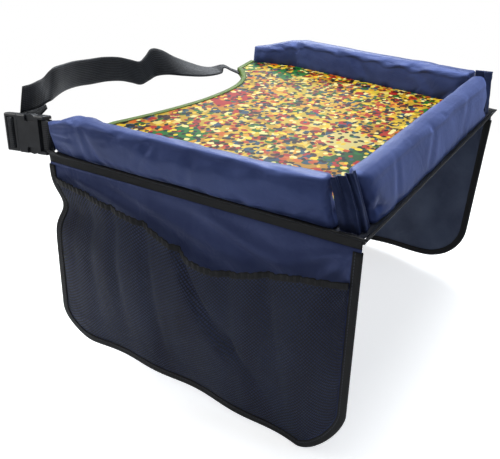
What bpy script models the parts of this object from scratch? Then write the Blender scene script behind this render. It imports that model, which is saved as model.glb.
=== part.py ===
# Lap travel tray for a child's seat: a stiff board with a printed top, three padded walls,
# two hanging side flaps with net pockets, and a waist strap with a side release buckle.
# Metres, +Z up. +X runs from the near side to the far side, +Y towards the child.
# The origin is on the underside, halfway between the front edge and the waist curve.

import math

import bmesh
import bpy
import numpy as np
from mathutils import Matrix, Vector

# Clearances and small working sizes
GAP = 0.0003  # between pieces that touch
OVERRUN = 0.004  # how far a cutter passes the face that it opens

# Base
BASE_WIDTH = 0.400  # front corner to front corner
BASE_DEPTH = 0.314  # front edge to the lowest point of the waist curve
SIDE_FLARE = 0.0314  # how far each side has run outwards at the depth of the base
LINING_THICKNESS = 0.0010
LINING_INSET = 0.0015  # in from the base's edge, clear of the seam tapes
BOARD_THICKNESS = 0.0060
PRINT_THICKNESS = 0.0012
WAIST_HALF_WIDTH = 0.144  # middle of the waist curve to a horn's tip
NEAR_HORN_RISE = 0.028
NEAR_HORN_POWER = 1.6
FAR_HORN_RISE = 0.057  # the strap pulls this horn out further
FAR_HORN_POWER = 3.0
WAIST_CENTRE_X = 0.0
WAIST_POINTS = 24
WAIST_TAPE_LEG = 0.0060
WAIST_TAPE_THICKNESS = 0.0008

# Walls
WALL_HEIGHT = 0.0500
WALL_THICKNESS = 0.0200
WALL_CROWN = 0.0014  # how far the padding swells each face
WALL_TOP_ROUND = 0.0085
PROFILE_ROW_SHARES = (0.35, 0.7)  # rows on a wall's face, of its straight height
ARCH_STEPS = 6
SIDE_LEAN = 0.0090  # outwards at the top
FRONT_LEAN = 0.0170  # inwards at the top
COVER_THICKNESS = 0.0010
FOAM_SLACK = 0.0005  # between the cover's inside and the foam
SIDE_WALL_START = 0.0245  # from the front edge to a side wall's front end
SIDE_WALL_RAKE = 0.0100  # how far that end leans back at the top
NEXT_RAKE_SHARE = 0.85  # what is left of the rake where the end has drawn in
FRONT_WALL_START = 0.0245  # from the base's side to the front wall's end
FRONT_WALL_RAKE = 0.0060  # how far that end reaches out at the top
FRONT_WALL_FAR_RAKE = 0.0220  # the far corner stands closed, the near one has slumped open
END_ROUND = 0.0060  # length over which a wall's end draws in
END_THICKNESS_SHARE = 0.66
END_HEIGHT_SHARE = 0.95
WALL_STATIONS = 6  # along the straight run
NEAR_CREASE = 0.296  # front edge to the crease where the wing starts
NEAR_WING_LENGTH = 0.046
NEAR_WING_TOE = 0.0  # degrees, inwards
NEAR_WING_END_HEIGHT = 0.0370
FAR_CREASE = 0.310
FAR_WING_LENGTH = 0.078
FAR_WING_TOE = 19.0
FAR_WING_END_HEIGHT = 0.0310
WING_END_THICKNESS = 0.0140
CREASE_HALF_LENGTH = 0.0075
CREASE_DEPTH = 0.0014
WING_SHARES = (0.12, 0.5, 1.0)  # places along a wing, from its crease to where its end draws in

# Corner gussets
GUSSET_THICKNESS = 0.0008
GUSSET_PLEAT = 0.0016
GUSSET_PLEATS = 3
GUSSET_COLUMNS = 18
GUSSET_ROWS = 5
GUSSET_STANDOFF = 0.0016  # gusset's middle surface to a wall's end
GUSSET_HEIGHT = 0.0445
NEAR_GUSSET_DRAW_SHARE = 0.85  # how far the top is drawn in towards the walls
FAR_GUSSET_DRAW_SHARE = 0.05
FAR_GUSSET_SPREAD = 0.0090  # how far its top stands out past the base's corner
GUSSET_TUCK_SHARE = 0.30  # of the wall's half thickness, in from the end's outer corner

# Seam tapes under the walls
TAPE_THICKNESS = 0.0016
TAPE_DROP = 0.0080
TAPE_PROUD = 0.0004  # outside the base's edge
FRONT_TAPE_DROP = 0.0030

# Flaps
NEAR_FLAP_PAST_CREASE = 0.0480  # how far the flap runs past the wing's crease
FAR_FLAP_PAST_CREASE = 0.0
FLAP_START = 0.0010  # from the front corner along the side
FLAP_DROP = 0.2120  # at the near flap's end towards the child
NEAR_FLAP_SAG = 0.0280  # more drop at the front corner
FAR_FLAP_MORE_DROP = 0.0160
FAR_FLAP_SAG = -0.0240
NEAR_FLAP_SET = 0.0185  # how far the lower edge stands out
FAR_FLAP_SET = -0.0300
FLAP_FRONT_SPREAD = 0.0120  # the front edge leans forwards by this at the bottom
FLAP_CORNER = 0.0480  # rounding along the lower edge, and how far the folds fade at the sides
NEAR_FRONT_CORNER = 0.0450  # the near flap's corners are cut unevenly: along its lower edge
NEAR_FRONT_CORNER_RISE = 0.0680  # and up its front edge
NEAR_FRONT_CORNER_POWER = 1.45
NEAR_BACK_CORNER_RISE = 0.0360
ROUND_POWER = 2.0
INSET_SAMPLES = 8
FLAP_THICKNESS = 0.0010
FLAP_HINGE_GAP = 0.0007  # tape's lower edge to the hinge axis
FLAP_COLUMNS = 32
FLAP_ROWS = 8
FLAP_FOLD = 0.0017  # depth of the hanging folds at the lower edge
FLAP_FOLDS = 3.5
FLAP_FOLD_PHASE = 0.6
FLAP_SAG_POWER = 2.5
FLAP_TOP_SLACK = 0.0002

# Binding round each flap
BINDING_LEG = 0.0070
BINDING_THICKNESS = 0.0008
BINDING_START = 0.0060  # below the hinge, where the binding starts

# Net pockets
NET_THICKNESS = 0.0008
NET_EDGE_GAP = 0.0006  # between the binding's leg and the net
NET_BULGE = 0.0180
NET_FOLD = 0.0022
NET_FOLDS = 3.0
NET_COLUMNS = 32
NET_ROWS = 9
NET_MOUTH_SHARE = 0.72  # bulge at the mouth, of the whole bulge
NET_SIDE_POWER = 0.55  # how soon the bulge opens from the sewn sides
NET_BELLY_SHARE = 0.8  # of the depth, down to where the slack gives out
NET_CLOSE_POWER = 0.8  # how the bulge closes on the lower edge
NET_DIP = 0.0270  # the mouth's sag at its lowest
NET_TOP = 0.0200  # below the hinge, the mouth's end towards the child
NET_FRONT_TOP = 0.0370
NET_DIP_PLACE_SHARE = 0.40
NET_DIP_WIDTH_SHARE = 0.20
ELASTIC_HEIGHT = 0.0060
ELASTIC_THICKNESS = 0.0013

# Webbing
WEBBING_WIDTH = 0.0320
WEBBING_THICKNESS = 0.0015
WEBBING_SLACK = 0.0008  # each side of the webbing in a slot
STRAP_STEPS = 5  # pieces between two route points
STRAP_REACH = 0.1230  # waist curve to the strap's furthest point
STRAP_RISE = 0.0380  # height unit of the strap's route
HEM_STATIONS = 2  # the tail's end is folded over and sewn
STRAP_FOLDED_WIDTH = 0.0170  # doubled over where it is sewn to the horn
STRAP_ANCHOR_INSET = 0.0060  # from the horn's tip, in along the waist curve
ANCHOR_STEP_SHARES = (4.0, 2.0, 0.0)  # last places before the horn, in tape leg lengths
ANCHOR_RISE_SHARE = 0.6
TAB_STANDOFF_SHARE = 0.4  # of the webbing's thickness, past the wing's end
TAB_BEND_SHARE = 0.3  # of the buckle's standoff, where the tab turns in to the wing

# Side release buckle, measured from the socket's wall end along the pull
BUCKLE_STANDOFF = 0.0050  # wall's end to the socket
BUCKLE_DROOP = 6.5  # degrees, nose down
BUCKLE_ROLL = 10.0  # degrees, top edge towards the tray
BUCKLE_HEIGHT = 0.0170  # the socket's middle above the underside
BUCKLE_WIDTH = 0.0410
BUCKLE_THICKNESS = 0.0120
BUCKLE_ROUND = 0.0016
SOCKET_LENGTH = 0.0420
SOCKET_BAR = 0.0045
BAR_THICKNESS = 0.0050
SLOT_LENGTH = 0.0042
SOCKET_FLOOR = 0.0030  # between the webbing slot and the hollow
HOLLOW_HALF_WIDTH = 0.0178
HOLLOW_HALF_THICKNESS = 0.0042
WINDOW_START = 0.0135
WINDOW_END = 0.0290
WINDOW_INNER = 0.0136
PLUG_LENGTH = 0.0210  # what shows of the plug
PLUG_THICKNESS = 0.0085
PLUG_BAR = 0.0038
YOKE_DEPTH = 0.0035
TONGUE_TIP = 0.0180
TONGUE_HALF_WIDTH = 0.0040
ARM_ROOT_GAP = 0.0005
ARM_HALF_THICKNESS = 0.0038
ARM_INNER = 0.0132
ARM_OUTER = 0.0166
CATCH_OUTER = 0.0200
CATCH_PLAY = 0.0005
PAD_OUTER = 0.0214
PAD_SHARES = (0.45, 0.75)  # of the head's length, from the catch to the pad and past it
HEAD_TIP_GAP = 0.0008
HEAD_ROUND = 0.0007

LINING_TOP = LINING_THICKNESS
BOARD_BOTTOM = LINING_TOP + GAP
PRINT_BOTTOM = BOARD_BOTTOM + BOARD_THICKNESS + GAP
PRINT_TOP = PRINT_BOTTOM + PRINT_THICKNESS
WALL_BOTTOM = LINING_TOP + GAP
FRONT_Y = -BASE_DEPTH / 2
WAIST_Y = BASE_DEPTH / 2
NEAR, FAR = -1, 1
NEAR_FLAP_LENGTH = NEAR_CREASE + NEAR_FLAP_PAST_CREASE
FAR_FLAP_LENGTH = FAR_CREASE + FAR_FLAP_PAST_CREASE
STRAP_ANCHOR_OFFSET = WAIST_HALF_WIDTH - STRAP_ANCHOR_INSET
HINGE_Z = -(GAP + TAPE_DROP + FLAP_HINGE_GAP)


# Scene and helpers


def clear_scene():
    for obj in list(bpy.data.objects):
        bpy.data.objects.remove(obj, do_unlink=True)


def new_collection(name):
    made = bpy.data.collections.new(name)
    bpy.context.scene.collection.children.link(made)
    return made


def material(name, colour, roughness, metallic=0.0):
    made = bpy.data.materials.new(name)
    made.use_nodes = True
    shader = made.node_tree.nodes["Principled BSDF"]
    shader.inputs["Base Color"].default_value = (*colour, 1.0)
    shader.inputs["Roughness"].default_value = roughness
    shader.inputs["Metallic"].default_value = metallic
    return made


def add_object(name, data, finish, group=None):
    made = bpy.data.objects.new(name, data)
    (group or parts).objects.link(made)
    if finish:
        made.data.materials.append(finish)
    return made


def mesh_from(name, points, faces):
    made = bpy.data.meshes.new(name)
    made.from_pydata([tuple(p) for p in points], [], faces)
    made.update()
    return made


def smooth(obj, angle=40):
    obj.data.shade_smooth()
    obj.data.set_sharp_from_angle(angle=math.radians(angle))
    return obj


def solidify(obj, thickness, offset=0.0):
    shell = obj.modifiers.new("Shell", "SOLIDIFY")
    shell.thickness = thickness
    shell.offset = offset
    shell.use_even_offset = True
    return obj


def bevel(obj, width, segments=2):
    made = obj.modifiers.new("Rounded edges", "BEVEL")
    made.width = width
    made.segments = segments
    made.limit_method = "ANGLE"
    return obj


def block(name, low, high, finish=None, group=None):
    """A box between two corners."""
    shape = bmesh.new()
    bmesh.ops.create_cube(shape, size=1.0)
    low, high = Vector(low), Vector(high)
    size = high - low
    bmesh.ops.scale(shape, vec=size, verts=shape.verts)
    bmesh.ops.translate(shape, vec=(low + high) / 2, verts=shape.verts)
    data = bpy.data.meshes.new(name)
    shape.to_mesh(data)
    shape.free()
    return add_object(name, data, finish, group)


def flat_piece(name, outline, low, high, finish):
    """A flat outline as a filled 2D curve, between two heights."""
    data = bpy.data.curves.new(name, "CURVE")
    data.dimensions = "2D"
    data.fill_mode = "BOTH"
    data.extrude = (high - low) / 2
    line = data.splines.new("POLY")
    line.points.add(len(outline) - 1)
    for spot, (x, y) in zip(line.points, outline):
        spot.co = (x, y, 0, 1)
    line.use_cyclic_u = True
    made = add_object(name, data, finish)
    made.location.z = (low + high) / 2
    return made


def grid_faces(rows, columns, closed=False):
    """Quads over points listed row by row."""
    faces = []
    for r in range(rows - 1):
        for c in range(columns if closed else columns - 1):
            n = (c + 1) % columns
            faces.append((r * columns + c, r * columns + n, (r + 1) * columns + n, (r + 1) * columns + c))
    return faces


def boolean(obj, other, operation="DIFFERENCE"):
    cut = obj.modifiers.new(other.name, "BOOLEAN")
    cut.operation = operation
    cut.solver = "EXACT"
    cut.object = other
    other.hide_render = True
    other.display_type = "WIRE"
    return obj


def sweep_sheet(name, frames, section, thickness, finish):
    """An open section swept along frames of (origin, across, up), made solid."""
    points = []
    for origin, across, up in frames:
        points += [origin + across * a + up * b for a, b in section]
    obj = add_object(name, mesh_from(name, points, grid_faces(len(frames), len(section))), finish)
    return solidify(obj, thickness)


def curve_through(controls, steps):
    """Catmull-Rom points through the controls, each a tuple of numbers."""
    rows = [np.array(c, float) for c in controls]
    rows = [2 * rows[0] - rows[1], *rows, 2 * rows[-1] - rows[-2]]
    made = []
    for i in range(1, len(rows) - 2):
        a, b, c, d = rows[i - 1 : i + 3]
        for k in range(steps):
            t = k / steps
            square = (2 * a - 5 * b + 4 * c - d) * t**2
            cube = (3 * b - a - 3 * c + d) * t**3
            made.append((2 * b + (c - a) * t + square + cube) / 2)
    made.append(rows[-2])
    return made


def ribbon(name, stations, finish):
    """Webbing along stations of (centre, width direction, width, thickness)."""
    points = []
    count = len(stations)
    for i, (centre, across, width, thick) in enumerate(stations):
        ahead = stations[min(i + 1, count - 1)][0] - stations[max(i - 1, 0)][0]
        out = ahead.cross(across).normalized()
        for a, b in ((-1, -1), (1, -1), (1, 1), (-1, 1)):
            points.append(centre + across * (a * width / 2) + out * (b * thick / 2))
    faces = grid_faces(count, 4, closed=True)
    faces.append((3, 2, 1, 0))
    faces.append(tuple(len(points) - 4 + k for k in range(4)))
    data = mesh_from(name, points, faces)
    shape = bmesh.new()
    shape.from_mesh(data)
    bmesh.ops.recalc_face_normals(shape, faces=shape.faces)
    shape.to_mesh(data)
    shape.free()
    return smooth(add_object(name, data, finish))


# Base outline


def side_direction(side):
    return Vector((side * SIDE_FLARE, BASE_DEPTH)).normalized()


def outward(side, along):
    """Square to a side's run, pointing away from the tray."""
    return Vector((along.y, -along.x)) * side


def side_foot(side, run):
    """A point of the side's outer foot line, at a run along the depth."""
    return Vector((side * (BASE_WIDTH / 2 + SIDE_FLARE * run / BASE_DEPTH), FRONT_Y + run))


def wing(side):
    if side == NEAR:
        return NEAR_CREASE, NEAR_WING_LENGTH, NEAR_WING_TOE, NEAR_WING_END_HEIGHT
    return FAR_CREASE, FAR_WING_LENGTH, FAR_WING_TOE, FAR_WING_END_HEIGHT


def wing_direction(side):
    turn = math.radians(wing(side)[2]) * side
    return side_direction(side).to_3d().xy @ Matrix.Rotation(-turn, 2)


def wing_end(side):
    return side_foot(side, wing(side)[0]) + wing_direction(side) * wing(side)[1]


def waist_point(offset):
    share = abs(offset) / WAIST_HALF_WIDTH
    if offset < 0:
        rise = NEAR_HORN_RISE * share**NEAR_HORN_POWER
    else:
        rise = FAR_HORN_RISE * share**FAR_HORN_POWER
    return Vector((WAIST_CENTRE_X + offset, WAIST_Y + rise))


def waist_line(inset=0.0):
    """The waist curve, moved in towards the tray."""
    line = []
    for i in range(WAIST_POINTS):
        line.append(waist_point(WAIST_HALF_WIDTH * (2 * i / (WAIST_POINTS - 1) - 1)))
    moved = []
    for i, spot in enumerate(line):
        ahead = (line[min(i + 1, WAIST_POINTS - 1)] - line[max(i - 1, 0)]).normalized()
        moved.append(spot - Vector((-ahead.y, ahead.x)) * inset)
    return moved


def base_outline(side_inset, front_inset, waist_inset=0.0):
    """The base's outline, in from the walls' outer feet and the waist curve."""
    points = []
    for side in (NEAR, FAR):
        along, toe = side_direction(side), wing_direction(side)
        foot = side_foot(side, front_inset) - outward(side, along) * side_inset
        both = outward(side, along) + outward(side, toe)
        crease = side_foot(side, wing(side)[0]) - both * side_inset / 2
        end = wing_end(side) - outward(side, toe) * side_inset
        run = [foot, crease, end]
        points.append(run if side == NEAR else run[::-1])
    return points[0] + waist_line(waist_inset) + points[1]


# Walls


def wall_profile(thickness, height, crown, inset):
    """(outward, up) points from the inner foot over the top to the outer foot."""
    half, top = thickness / 2 - inset, height - inset
    round_height = min(WALL_TOP_ROUND, top / 2)
    straight = top - round_height

    def face(z):
        return half + crown * math.sin(math.pi * z / top) if top else half

    rows = [WALL_BOTTOM, *(straight * share for share in PROFILE_ROW_SHARES), straight]
    inner = [(-face(z), z) for z in rows]
    arch = [
        (-face(straight) * math.cos(turn), straight + round_height * math.sin(turn))
        for turn in (math.pi * k / ARCH_STEPS for k in range(1, ARCH_STEPS))
    ]
    return inner + arch + [(-o, z) for o, z in inner[::-1]]


def wall_points(stations, inset):
    """Rows of points, one row a station. The first and last stations move in by the inset."""
    rows = []
    last = len(stations) - 1
    for i, s in enumerate(stations):
        shift = inset if i == 0 else -inset if i == last else 0.0
        row = []
        for o, z in wall_profile(s["thickness"], s["height"], s["crown"], inset):
            spot = s["centre"] + s["along"] * (shift + s["rake"] * z / WALL_HEIGHT)
            spot = spot + s["out"] * (o + s["lean"] * z / WALL_HEIGHT)
            row.append(Vector((spot.x, spot.y, z)))
        rows.append(row)
    return rows


def wall_solid(name, stations, inset, finish, flip, is_shell):
    rows = wall_points(stations, inset)
    columns = len(rows[0])
    points = [p for row in rows for p in row]
    faces = grid_faces(len(rows), columns, closed=not is_shell)
    faces.append(tuple(range(columns))[::-1])
    faces.append(tuple(len(points) - columns + k for k in range(columns)))
    if flip:
        faces = [f[::-1] for f in faces]
    obj = add_object(name, mesh_from(name, points, faces), finish)
    if is_shell:
        solidify(obj, COVER_THICKNESS, offset=-1.0)
    return smooth(obj)


def station(centre, along, out, thickness, height, lean, rake=0.0, crown=WALL_CROWN):
    return {
        "centre": centre,
        "along": along,
        "out": out,
        "thickness": thickness,
        "height": height,
        "lean": lean,
        "rake": rake,
        "crown": crown,
    }


def side_wall_stations(side):
    """From the front end to the wing's end, with a crease where the wing starts."""
    along, toe = side_direction(side), wing_direction(side)
    out, toe_out = outward(side, along), outward(side, toe)
    crease_run, wing_length, _, end_height = wing(side)
    half = WALL_THICKNESS / 2
    full = (WALL_THICKNESS, WALL_HEIGHT, SIDE_LEAN)
    drawn = (WALL_THICKNESS * END_THICKNESS_SHARE, WALL_HEIGHT * END_HEIGHT_SHARE, SIDE_LEAN)

    def on_side(run):
        return side_foot(side, run) - out * half

    next_rake = SIDE_WALL_RAKE * NEXT_RAKE_SHARE
    made = [
        station(on_side(SIDE_WALL_START), along, out, *drawn, rake=SIDE_WALL_RAKE, crown=0.0),
        station(on_side(SIDE_WALL_START + END_ROUND), along, out, *full, rake=next_rake),
    ]
    first, last = SIDE_WALL_START + 3 * END_ROUND, crease_run - CREASE_HALF_LENGTH
    for k in range(WALL_STATIONS):
        made.append(station(on_side(first + (last - first) * k / (WALL_STATIONS - 1)), along, out, *full))
    bend = (along + toe).normalized()
    bend_out = outward(side, bend)
    pinch = (WALL_THICKNESS - 2 * CREASE_DEPTH, WALL_HEIGHT - CREASE_DEPTH, SIDE_LEAN)
    crease = side_foot(side, crease_run)
    made.append(station(crease - bend_out * half, bend, bend_out, *pinch))
    for share in WING_SHARES:
        run = CREASE_HALF_LENGTH + (wing_length - END_ROUND - CREASE_HALF_LENGTH) * share
        thick = WALL_THICKNESS + (WING_END_THICKNESS - WALL_THICKNESS) * share
        tall = WALL_HEIGHT + (end_height - WALL_HEIGHT) * share
        made.append(station(crease + toe * run - toe_out * half, toe, toe_out, thick, tall, SIDE_LEAN))
    made.append(
        station(
            crease + toe * wing_length - toe_out * half,
            toe,
            toe_out,
            WING_END_THICKNESS * END_THICKNESS_SHARE,
            end_height * END_HEIGHT_SHARE,
            SIDE_LEAN,
            crown=0.0,
        )
    )
    return made


def front_wall_stations():
    """From the near end to the far end. Outwards is away from the child."""
    along, out = Vector((1, 0)), Vector((0, -1))
    y = FRONT_Y + WALL_THICKNESS / 2
    end_x = BASE_WIDTH / 2 - FRONT_WALL_START
    full = (WALL_THICKNESS, WALL_HEIGHT, -FRONT_LEAN)
    drawn = (WALL_THICKNESS * END_THICKNESS_SHARE, WALL_HEIGHT * END_HEIGHT_SHARE, -FRONT_LEAN)
    made = [station(Vector((-end_x, y)), along, out, *drawn, rake=-FRONT_WALL_RAKE, crown=0.0)]
    made.append(station(Vector((-end_x + END_ROUND, y)), along, out, *full, rake=-FRONT_WALL_RAKE / 2))
    reach = end_x - 3 * END_ROUND
    for k in range(WALL_STATIONS):
        made.append(station(Vector((-reach + 2 * reach * k / (WALL_STATIONS - 1), y)), along, out, *full))
    made.append(station(Vector((end_x - END_ROUND, y)), along, out, *full, rake=FRONT_WALL_FAR_RAKE / 2))
    made.append(station(Vector((end_x, y)), along, out, *drawn, rake=FRONT_WALL_FAR_RAKE, crown=0.0))
    return made


def make_wall(label, stations, flip):
    wall_solid(label + "_wall_cover", stations, 0.0, nylon, flip, is_shell=True)
    inset = COVER_THICKNESS + FOAM_SLACK
    wall_solid(label + "_wall_foam", stations, inset, foam, flip, is_shell=False)


def end_corner(wall_station, z, sign):
    """The outer corner of a wall's end face at a height, standing off along the wall."""
    s = wall_station
    tuck = s["thickness"] / 2 * (1 - GUSSET_TUCK_SHARE)
    spot = s["centre"] + s["along"] * (sign * GUSSET_STANDOFF + s["rake"] * z / WALL_HEIGHT)
    return spot + s["out"] * (tuck + s["lean"] * z / WALL_HEIGHT)


def make_gusset(label, side, side_stations, front_stations):
    """Pleated cloth that closes a front corner, full at the foot."""
    side_end = side_stations[0]
    front_end, sign = (front_stations[0], -1) if side == NEAR else (front_stations[-1], 1)
    draw = NEAR_GUSSET_DRAW_SHARE if side == NEAR else FAR_GUSSET_DRAW_SHARE
    spread = 0.0 if side == NEAR else FAR_GUSSET_SPREAD
    foot = Vector((side * BASE_WIDTH / 2, FRONT_Y))
    points = []
    for r in range(GUSSET_ROWS):
        z = WALL_BOTTOM + (GUSSET_HEIGHT - WALL_BOTTOM) * r / (GUSSET_ROWS - 1)
        start, finish = end_corner(side_end, z, -1), end_corner(front_end, z, sign)
        middle = (start + finish) / 2
        corner = foot + Vector((side * spread * z / GUSSET_HEIGHT, 0))
        normal = (corner - middle).normalized()
        control = middle + (corner - middle) * (1 - draw * z / GUSSET_HEIGHT)
        for c in range(GUSSET_COLUMNS):
            t = c / (GUSSET_COLUMNS - 1)
            spot = start * (1 - t) ** 2 + control * 2 * t * (1 - t) + finish * t**2
            wave = GUSSET_PLEAT * math.sin(2 * math.pi * GUSSET_PLEATS * t) * math.sin(math.pi * t)
            spot = spot + normal * wave
            points.append(Vector((spot.x, spot.y, z)))
    data = mesh_from(label, points, grid_faces(GUSSET_ROWS, GUSSET_COLUMNS))
    obj = add_object(label + "_corner_gusset", data, gusset_cloth)
    return smooth(solidify(obj, GUSSET_THICKNESS))


def make_base():
    outline = base_outline(LINING_INSET, LINING_INSET, WAIST_TAPE_LEG + GAP)
    flat_piece("base_lining", outline, 0.0, LINING_TOP, lining_cloth)
    side_inset = WALL_THICKNESS + WALL_CROWN + GAP
    front_inset = side_inset + FRONT_LEAN * PRINT_TOP / WALL_HEIGHT
    inner = base_outline(side_inset, front_inset)
    flat_piece("base_board", inner, BOARD_BOTTOM, BOARD_BOTTOM + BOARD_THICKNESS, board)
    flat_piece("play_surface", inner, PRINT_BOTTOM, PRINT_TOP, print_vinyl)


def waist_frames():
    line = waist_line()[1:-1]
    frames = []
    for i, spot in enumerate(line):
        ahead = (line[min(i + 1, len(line) - 1)] - line[max(i - 1, 0)]).normalized()
        frames.append((spot.to_3d(), Vector((-ahead.y, ahead.x, 0)), Vector((0, 0, 1))))
    return frames


def make_waist_tape():
    """A folded tape over the edge of the board and its print."""
    reach = GAP + WAIST_TAPE_THICKNESS / 2
    low, high = BOARD_BOTTOM - reach, PRINT_TOP + reach
    section = ((-WAIST_TAPE_LEG, low), (reach, low), (reach, high), (-WAIST_TAPE_LEG, high))
    sweep_sheet("waist_binding", waist_frames(), section, WAIST_TAPE_THICKNESS, edge_tape)


def make_side_tape(label, side, length):
    """Webbing tape under the base's edge, which the flap hangs from."""
    obj = block(
        label + "_seam_tape",
        (-TAPE_THICKNESS / 2, 0, -GAP - TAPE_DROP),
        (TAPE_THICKNESS / 2, length, -GAP),
        binding_cloth,
    )
    obj.parent = side_frame(label + "_tape_frame", side, 0.0, TAPE_PROUD - TAPE_THICKNESS / 2)
    return obj


def side_frame(name, side, z, out):
    """An empty on a side's foot line: local +Y along the side, local +X away from the tray."""
    along = side_direction(side)
    away = outward(side, along)
    spot = side_foot(side, FLAP_START) + away * out
    frame = bpy.data.objects.new(name, None)
    parts.objects.link(frame)
    turn = Matrix(((away.x, along.x, 0), (away.y, along.y, 0), (0, 0, 1))).to_4x4()
    frame.matrix_world = Matrix.Translation((spot.x, spot.y, z)) @ turn
    return frame


# Flaps. Local X is outwards, Y along the hinge from the front, and the flap hangs down -Z


def flap_edge_depth(run, flap):
    """The flap's depth at a run along its hinge, with its rounded lower corners."""
    length = flap["length"]
    deep = flap["drop"] + flap["sag"] * (1 - run / length) ** FLAP_SAG_POWER
    width, rise, power = flap["front"] if run < length / 2 else flap["back"]
    share = min(1.0, max(0.0, 1 - min(run, length - run) / width))
    return deep - rise * (1 - (1 - share**power) ** (1 / power))


def flap_drop(run, flap, inset=0.0):
    """The depth of a line that stays in from the flap's edge."""
    if inset == 0:
        return flap_edge_depth(run, flap)
    depths = []
    for k in range(-INSET_SAMPLES, INSET_SAMPLES + 1):
        aside = inset * k / INSET_SAMPLES
        spot = min(flap["length"], max(0.0, run + aside))
        depths.append(flap_edge_depth(spot, flap) - math.sqrt(inset**2 - aside**2))
    return min(depths)


def flap_point(run, depth, flap, lift=0.0):
    """A point of the hanging flap, with folds that open downwards and die out at the sides."""
    length = flap["length"]
    down = depth / FLAP_DROP
    fold = math.sin(2 * math.pi * FLAP_FOLDS * run / length + FLAP_FOLD_PHASE)
    share = min(1.0, min(run, length - run) / FLAP_CORNER)
    out = flap["set"] * down + FLAP_FOLD * fold * down**2 * share**2 * (3 - 2 * share)
    return Vector((out + lift, run - FLAP_FRONT_SPREAD * (1 - run / length) * down, -depth))


def edge_runs(flap, count, inset=0.0):
    """Runs along the hinge, closer together over the rounded corners."""
    ends = max(2, count // 4)
    length, front, back = flap["length"], flap["front"][0], flap["back"][0]
    turns = [math.cos(math.pi / 2 * k / ends) for k in range(ends)]
    steps = count - 2 * ends
    middle = [front + (length - front - back) * k / (steps - 1) for k in range(steps)]
    first = [front - (front - inset) * t for t in turns]
    last = [length - back + (back - inset) * t for t in turns[::-1]]
    return first + middle + last


def make_flap_panel(label, flap):
    points = []
    runs = edge_runs(flap, FLAP_COLUMNS)
    for r in range(FLAP_ROWS):
        for run in runs:
            depth = FLAP_TOP_SLACK + (flap_drop(run, flap) - FLAP_TOP_SLACK) * r / (FLAP_ROWS - 1)
            points.append(flap_point(run, depth, flap))
    data = mesh_from(label, points, grid_faces(FLAP_ROWS, FLAP_COLUMNS))
    obj = add_object(label + "_flap_panel", data, flap_cloth)
    return smooth(solidify(obj, FLAP_THICKNESS))


def flap_edge(flap):
    """Points down one side, along the lower edge and up the other side."""
    length = flap["length"]
    runs = edge_runs(flap, FLAP_COLUMNS)
    first, last = flap_drop(0.0, flap), flap_drop(length, flap)
    rows = FLAP_ROWS - 2
    down = [(0.0, BINDING_START + (first - BINDING_START) * k / rows) for k in range(rows)]
    under = [(run, flap_drop(run, flap)) for run in runs]
    up = [(length, BINDING_START + (last - BINDING_START) * k / rows) for k in range(rows)]
    return down + under + up[::-1]


def make_flap_binding(label, flap):
    """A folded tape over the flap's free edge."""
    line = flap_edge(flap)
    middle = Vector((flap["length"] / 2, FLAP_DROP / 2))
    reach = FLAP_THICKNESS / 2 + GAP + BINDING_THICKNESS / 2
    section = ((-BINDING_LEG, reach), (reach, reach), (reach, -reach), (-BINDING_LEG, -reach))
    frames = []
    for i, spot in enumerate(line):
        before, after = Vector(line[max(i - 1, 0)]), Vector(line[min(i + 1, len(line) - 1)])
        run, depth = (after - before).normalized()
        inward = Vector((-depth, run))
        inward = inward if inward.dot(middle - Vector(spot)) > 0 else -inward
        edge = flap_point(*spot, flap)
        inner = flap_point(*(Vector(spot) + inward * BINDING_LEG), flap)
        ahead = flap_point(*after, flap) - flap_point(*before, flap)
        across = (edge - inner).normalized()
        up = ahead.cross(across).normalized()
        frames.append((edge, across, up if up.x > 0 else -up))
    return sweep_sheet(label + "_flap_binding", frames, section, BINDING_THICKNESS, binding_cloth)


def net_mouth(run, flap):
    """How far below the hinge the net's upper edge lies."""
    share = run / flap["length"]
    slope = NET_FRONT_TOP + (NET_TOP - NET_FRONT_TOP) * share
    return slope + NET_DIP * math.exp(-(((share - NET_DIP_PLACE_SHARE) / NET_DIP_WIDTH_SHARE) ** 2))


def net_bulge(run, depth, flap):
    """How far the net stands off the flap: nothing at its sewn edges, slack at its mouth."""
    inset = BINDING_LEG + NET_EDGE_GAP
    length = flap["length"]
    low = flap_drop(run, flap, inset)
    top = net_mouth(run, flap)
    down = min(1.0, max(0.0, (depth - top) / (low - top)))
    side = min(1.0, max(0.0, (run - inset) / (length - 2 * inset)))
    across = math.sin(math.pi * side) ** NET_SIDE_POWER if 0 < side < 1 else 0.0
    belly = math.sin(math.pi * min(1.0, down / NET_BELLY_SHARE))
    fall = NET_MOUTH_SHARE + (1 - NET_MOUTH_SHARE) * belly
    close = (1 - down**3) ** NET_CLOSE_POWER if down < 1 else 0.0
    folds = NET_FOLD * (1 + math.sin(2 * math.pi * NET_FOLDS * side)) * across
    return (NET_BULGE * fall * across + folds) * close


def net_lift(run, depth, flap):
    """From the flap's middle surface to the net's."""
    return FLAP_THICKNESS / 2 + GAP + NET_THICKNESS / 2 + net_bulge(run, depth, flap)


def make_net_pocket(label, flap):
    inset = BINDING_LEG + NET_EDGE_GAP
    points = []
    runs = edge_runs(flap, NET_COLUMNS, inset)
    for r in range(NET_ROWS):
        for run in runs:
            top, low = net_mouth(run, flap), flap_drop(run, flap, inset)
            depth = top + (low - top) * r / (NET_ROWS - 1)
            points.append(flap_point(run, depth, flap, net_lift(run, depth, flap)))
    data = mesh_from(label, points, grid_faces(NET_ROWS, NET_COLUMNS))
    obj = add_object(label + "_net_pocket", data, net)
    return smooth(solidify(obj, NET_THICKNESS))


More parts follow.
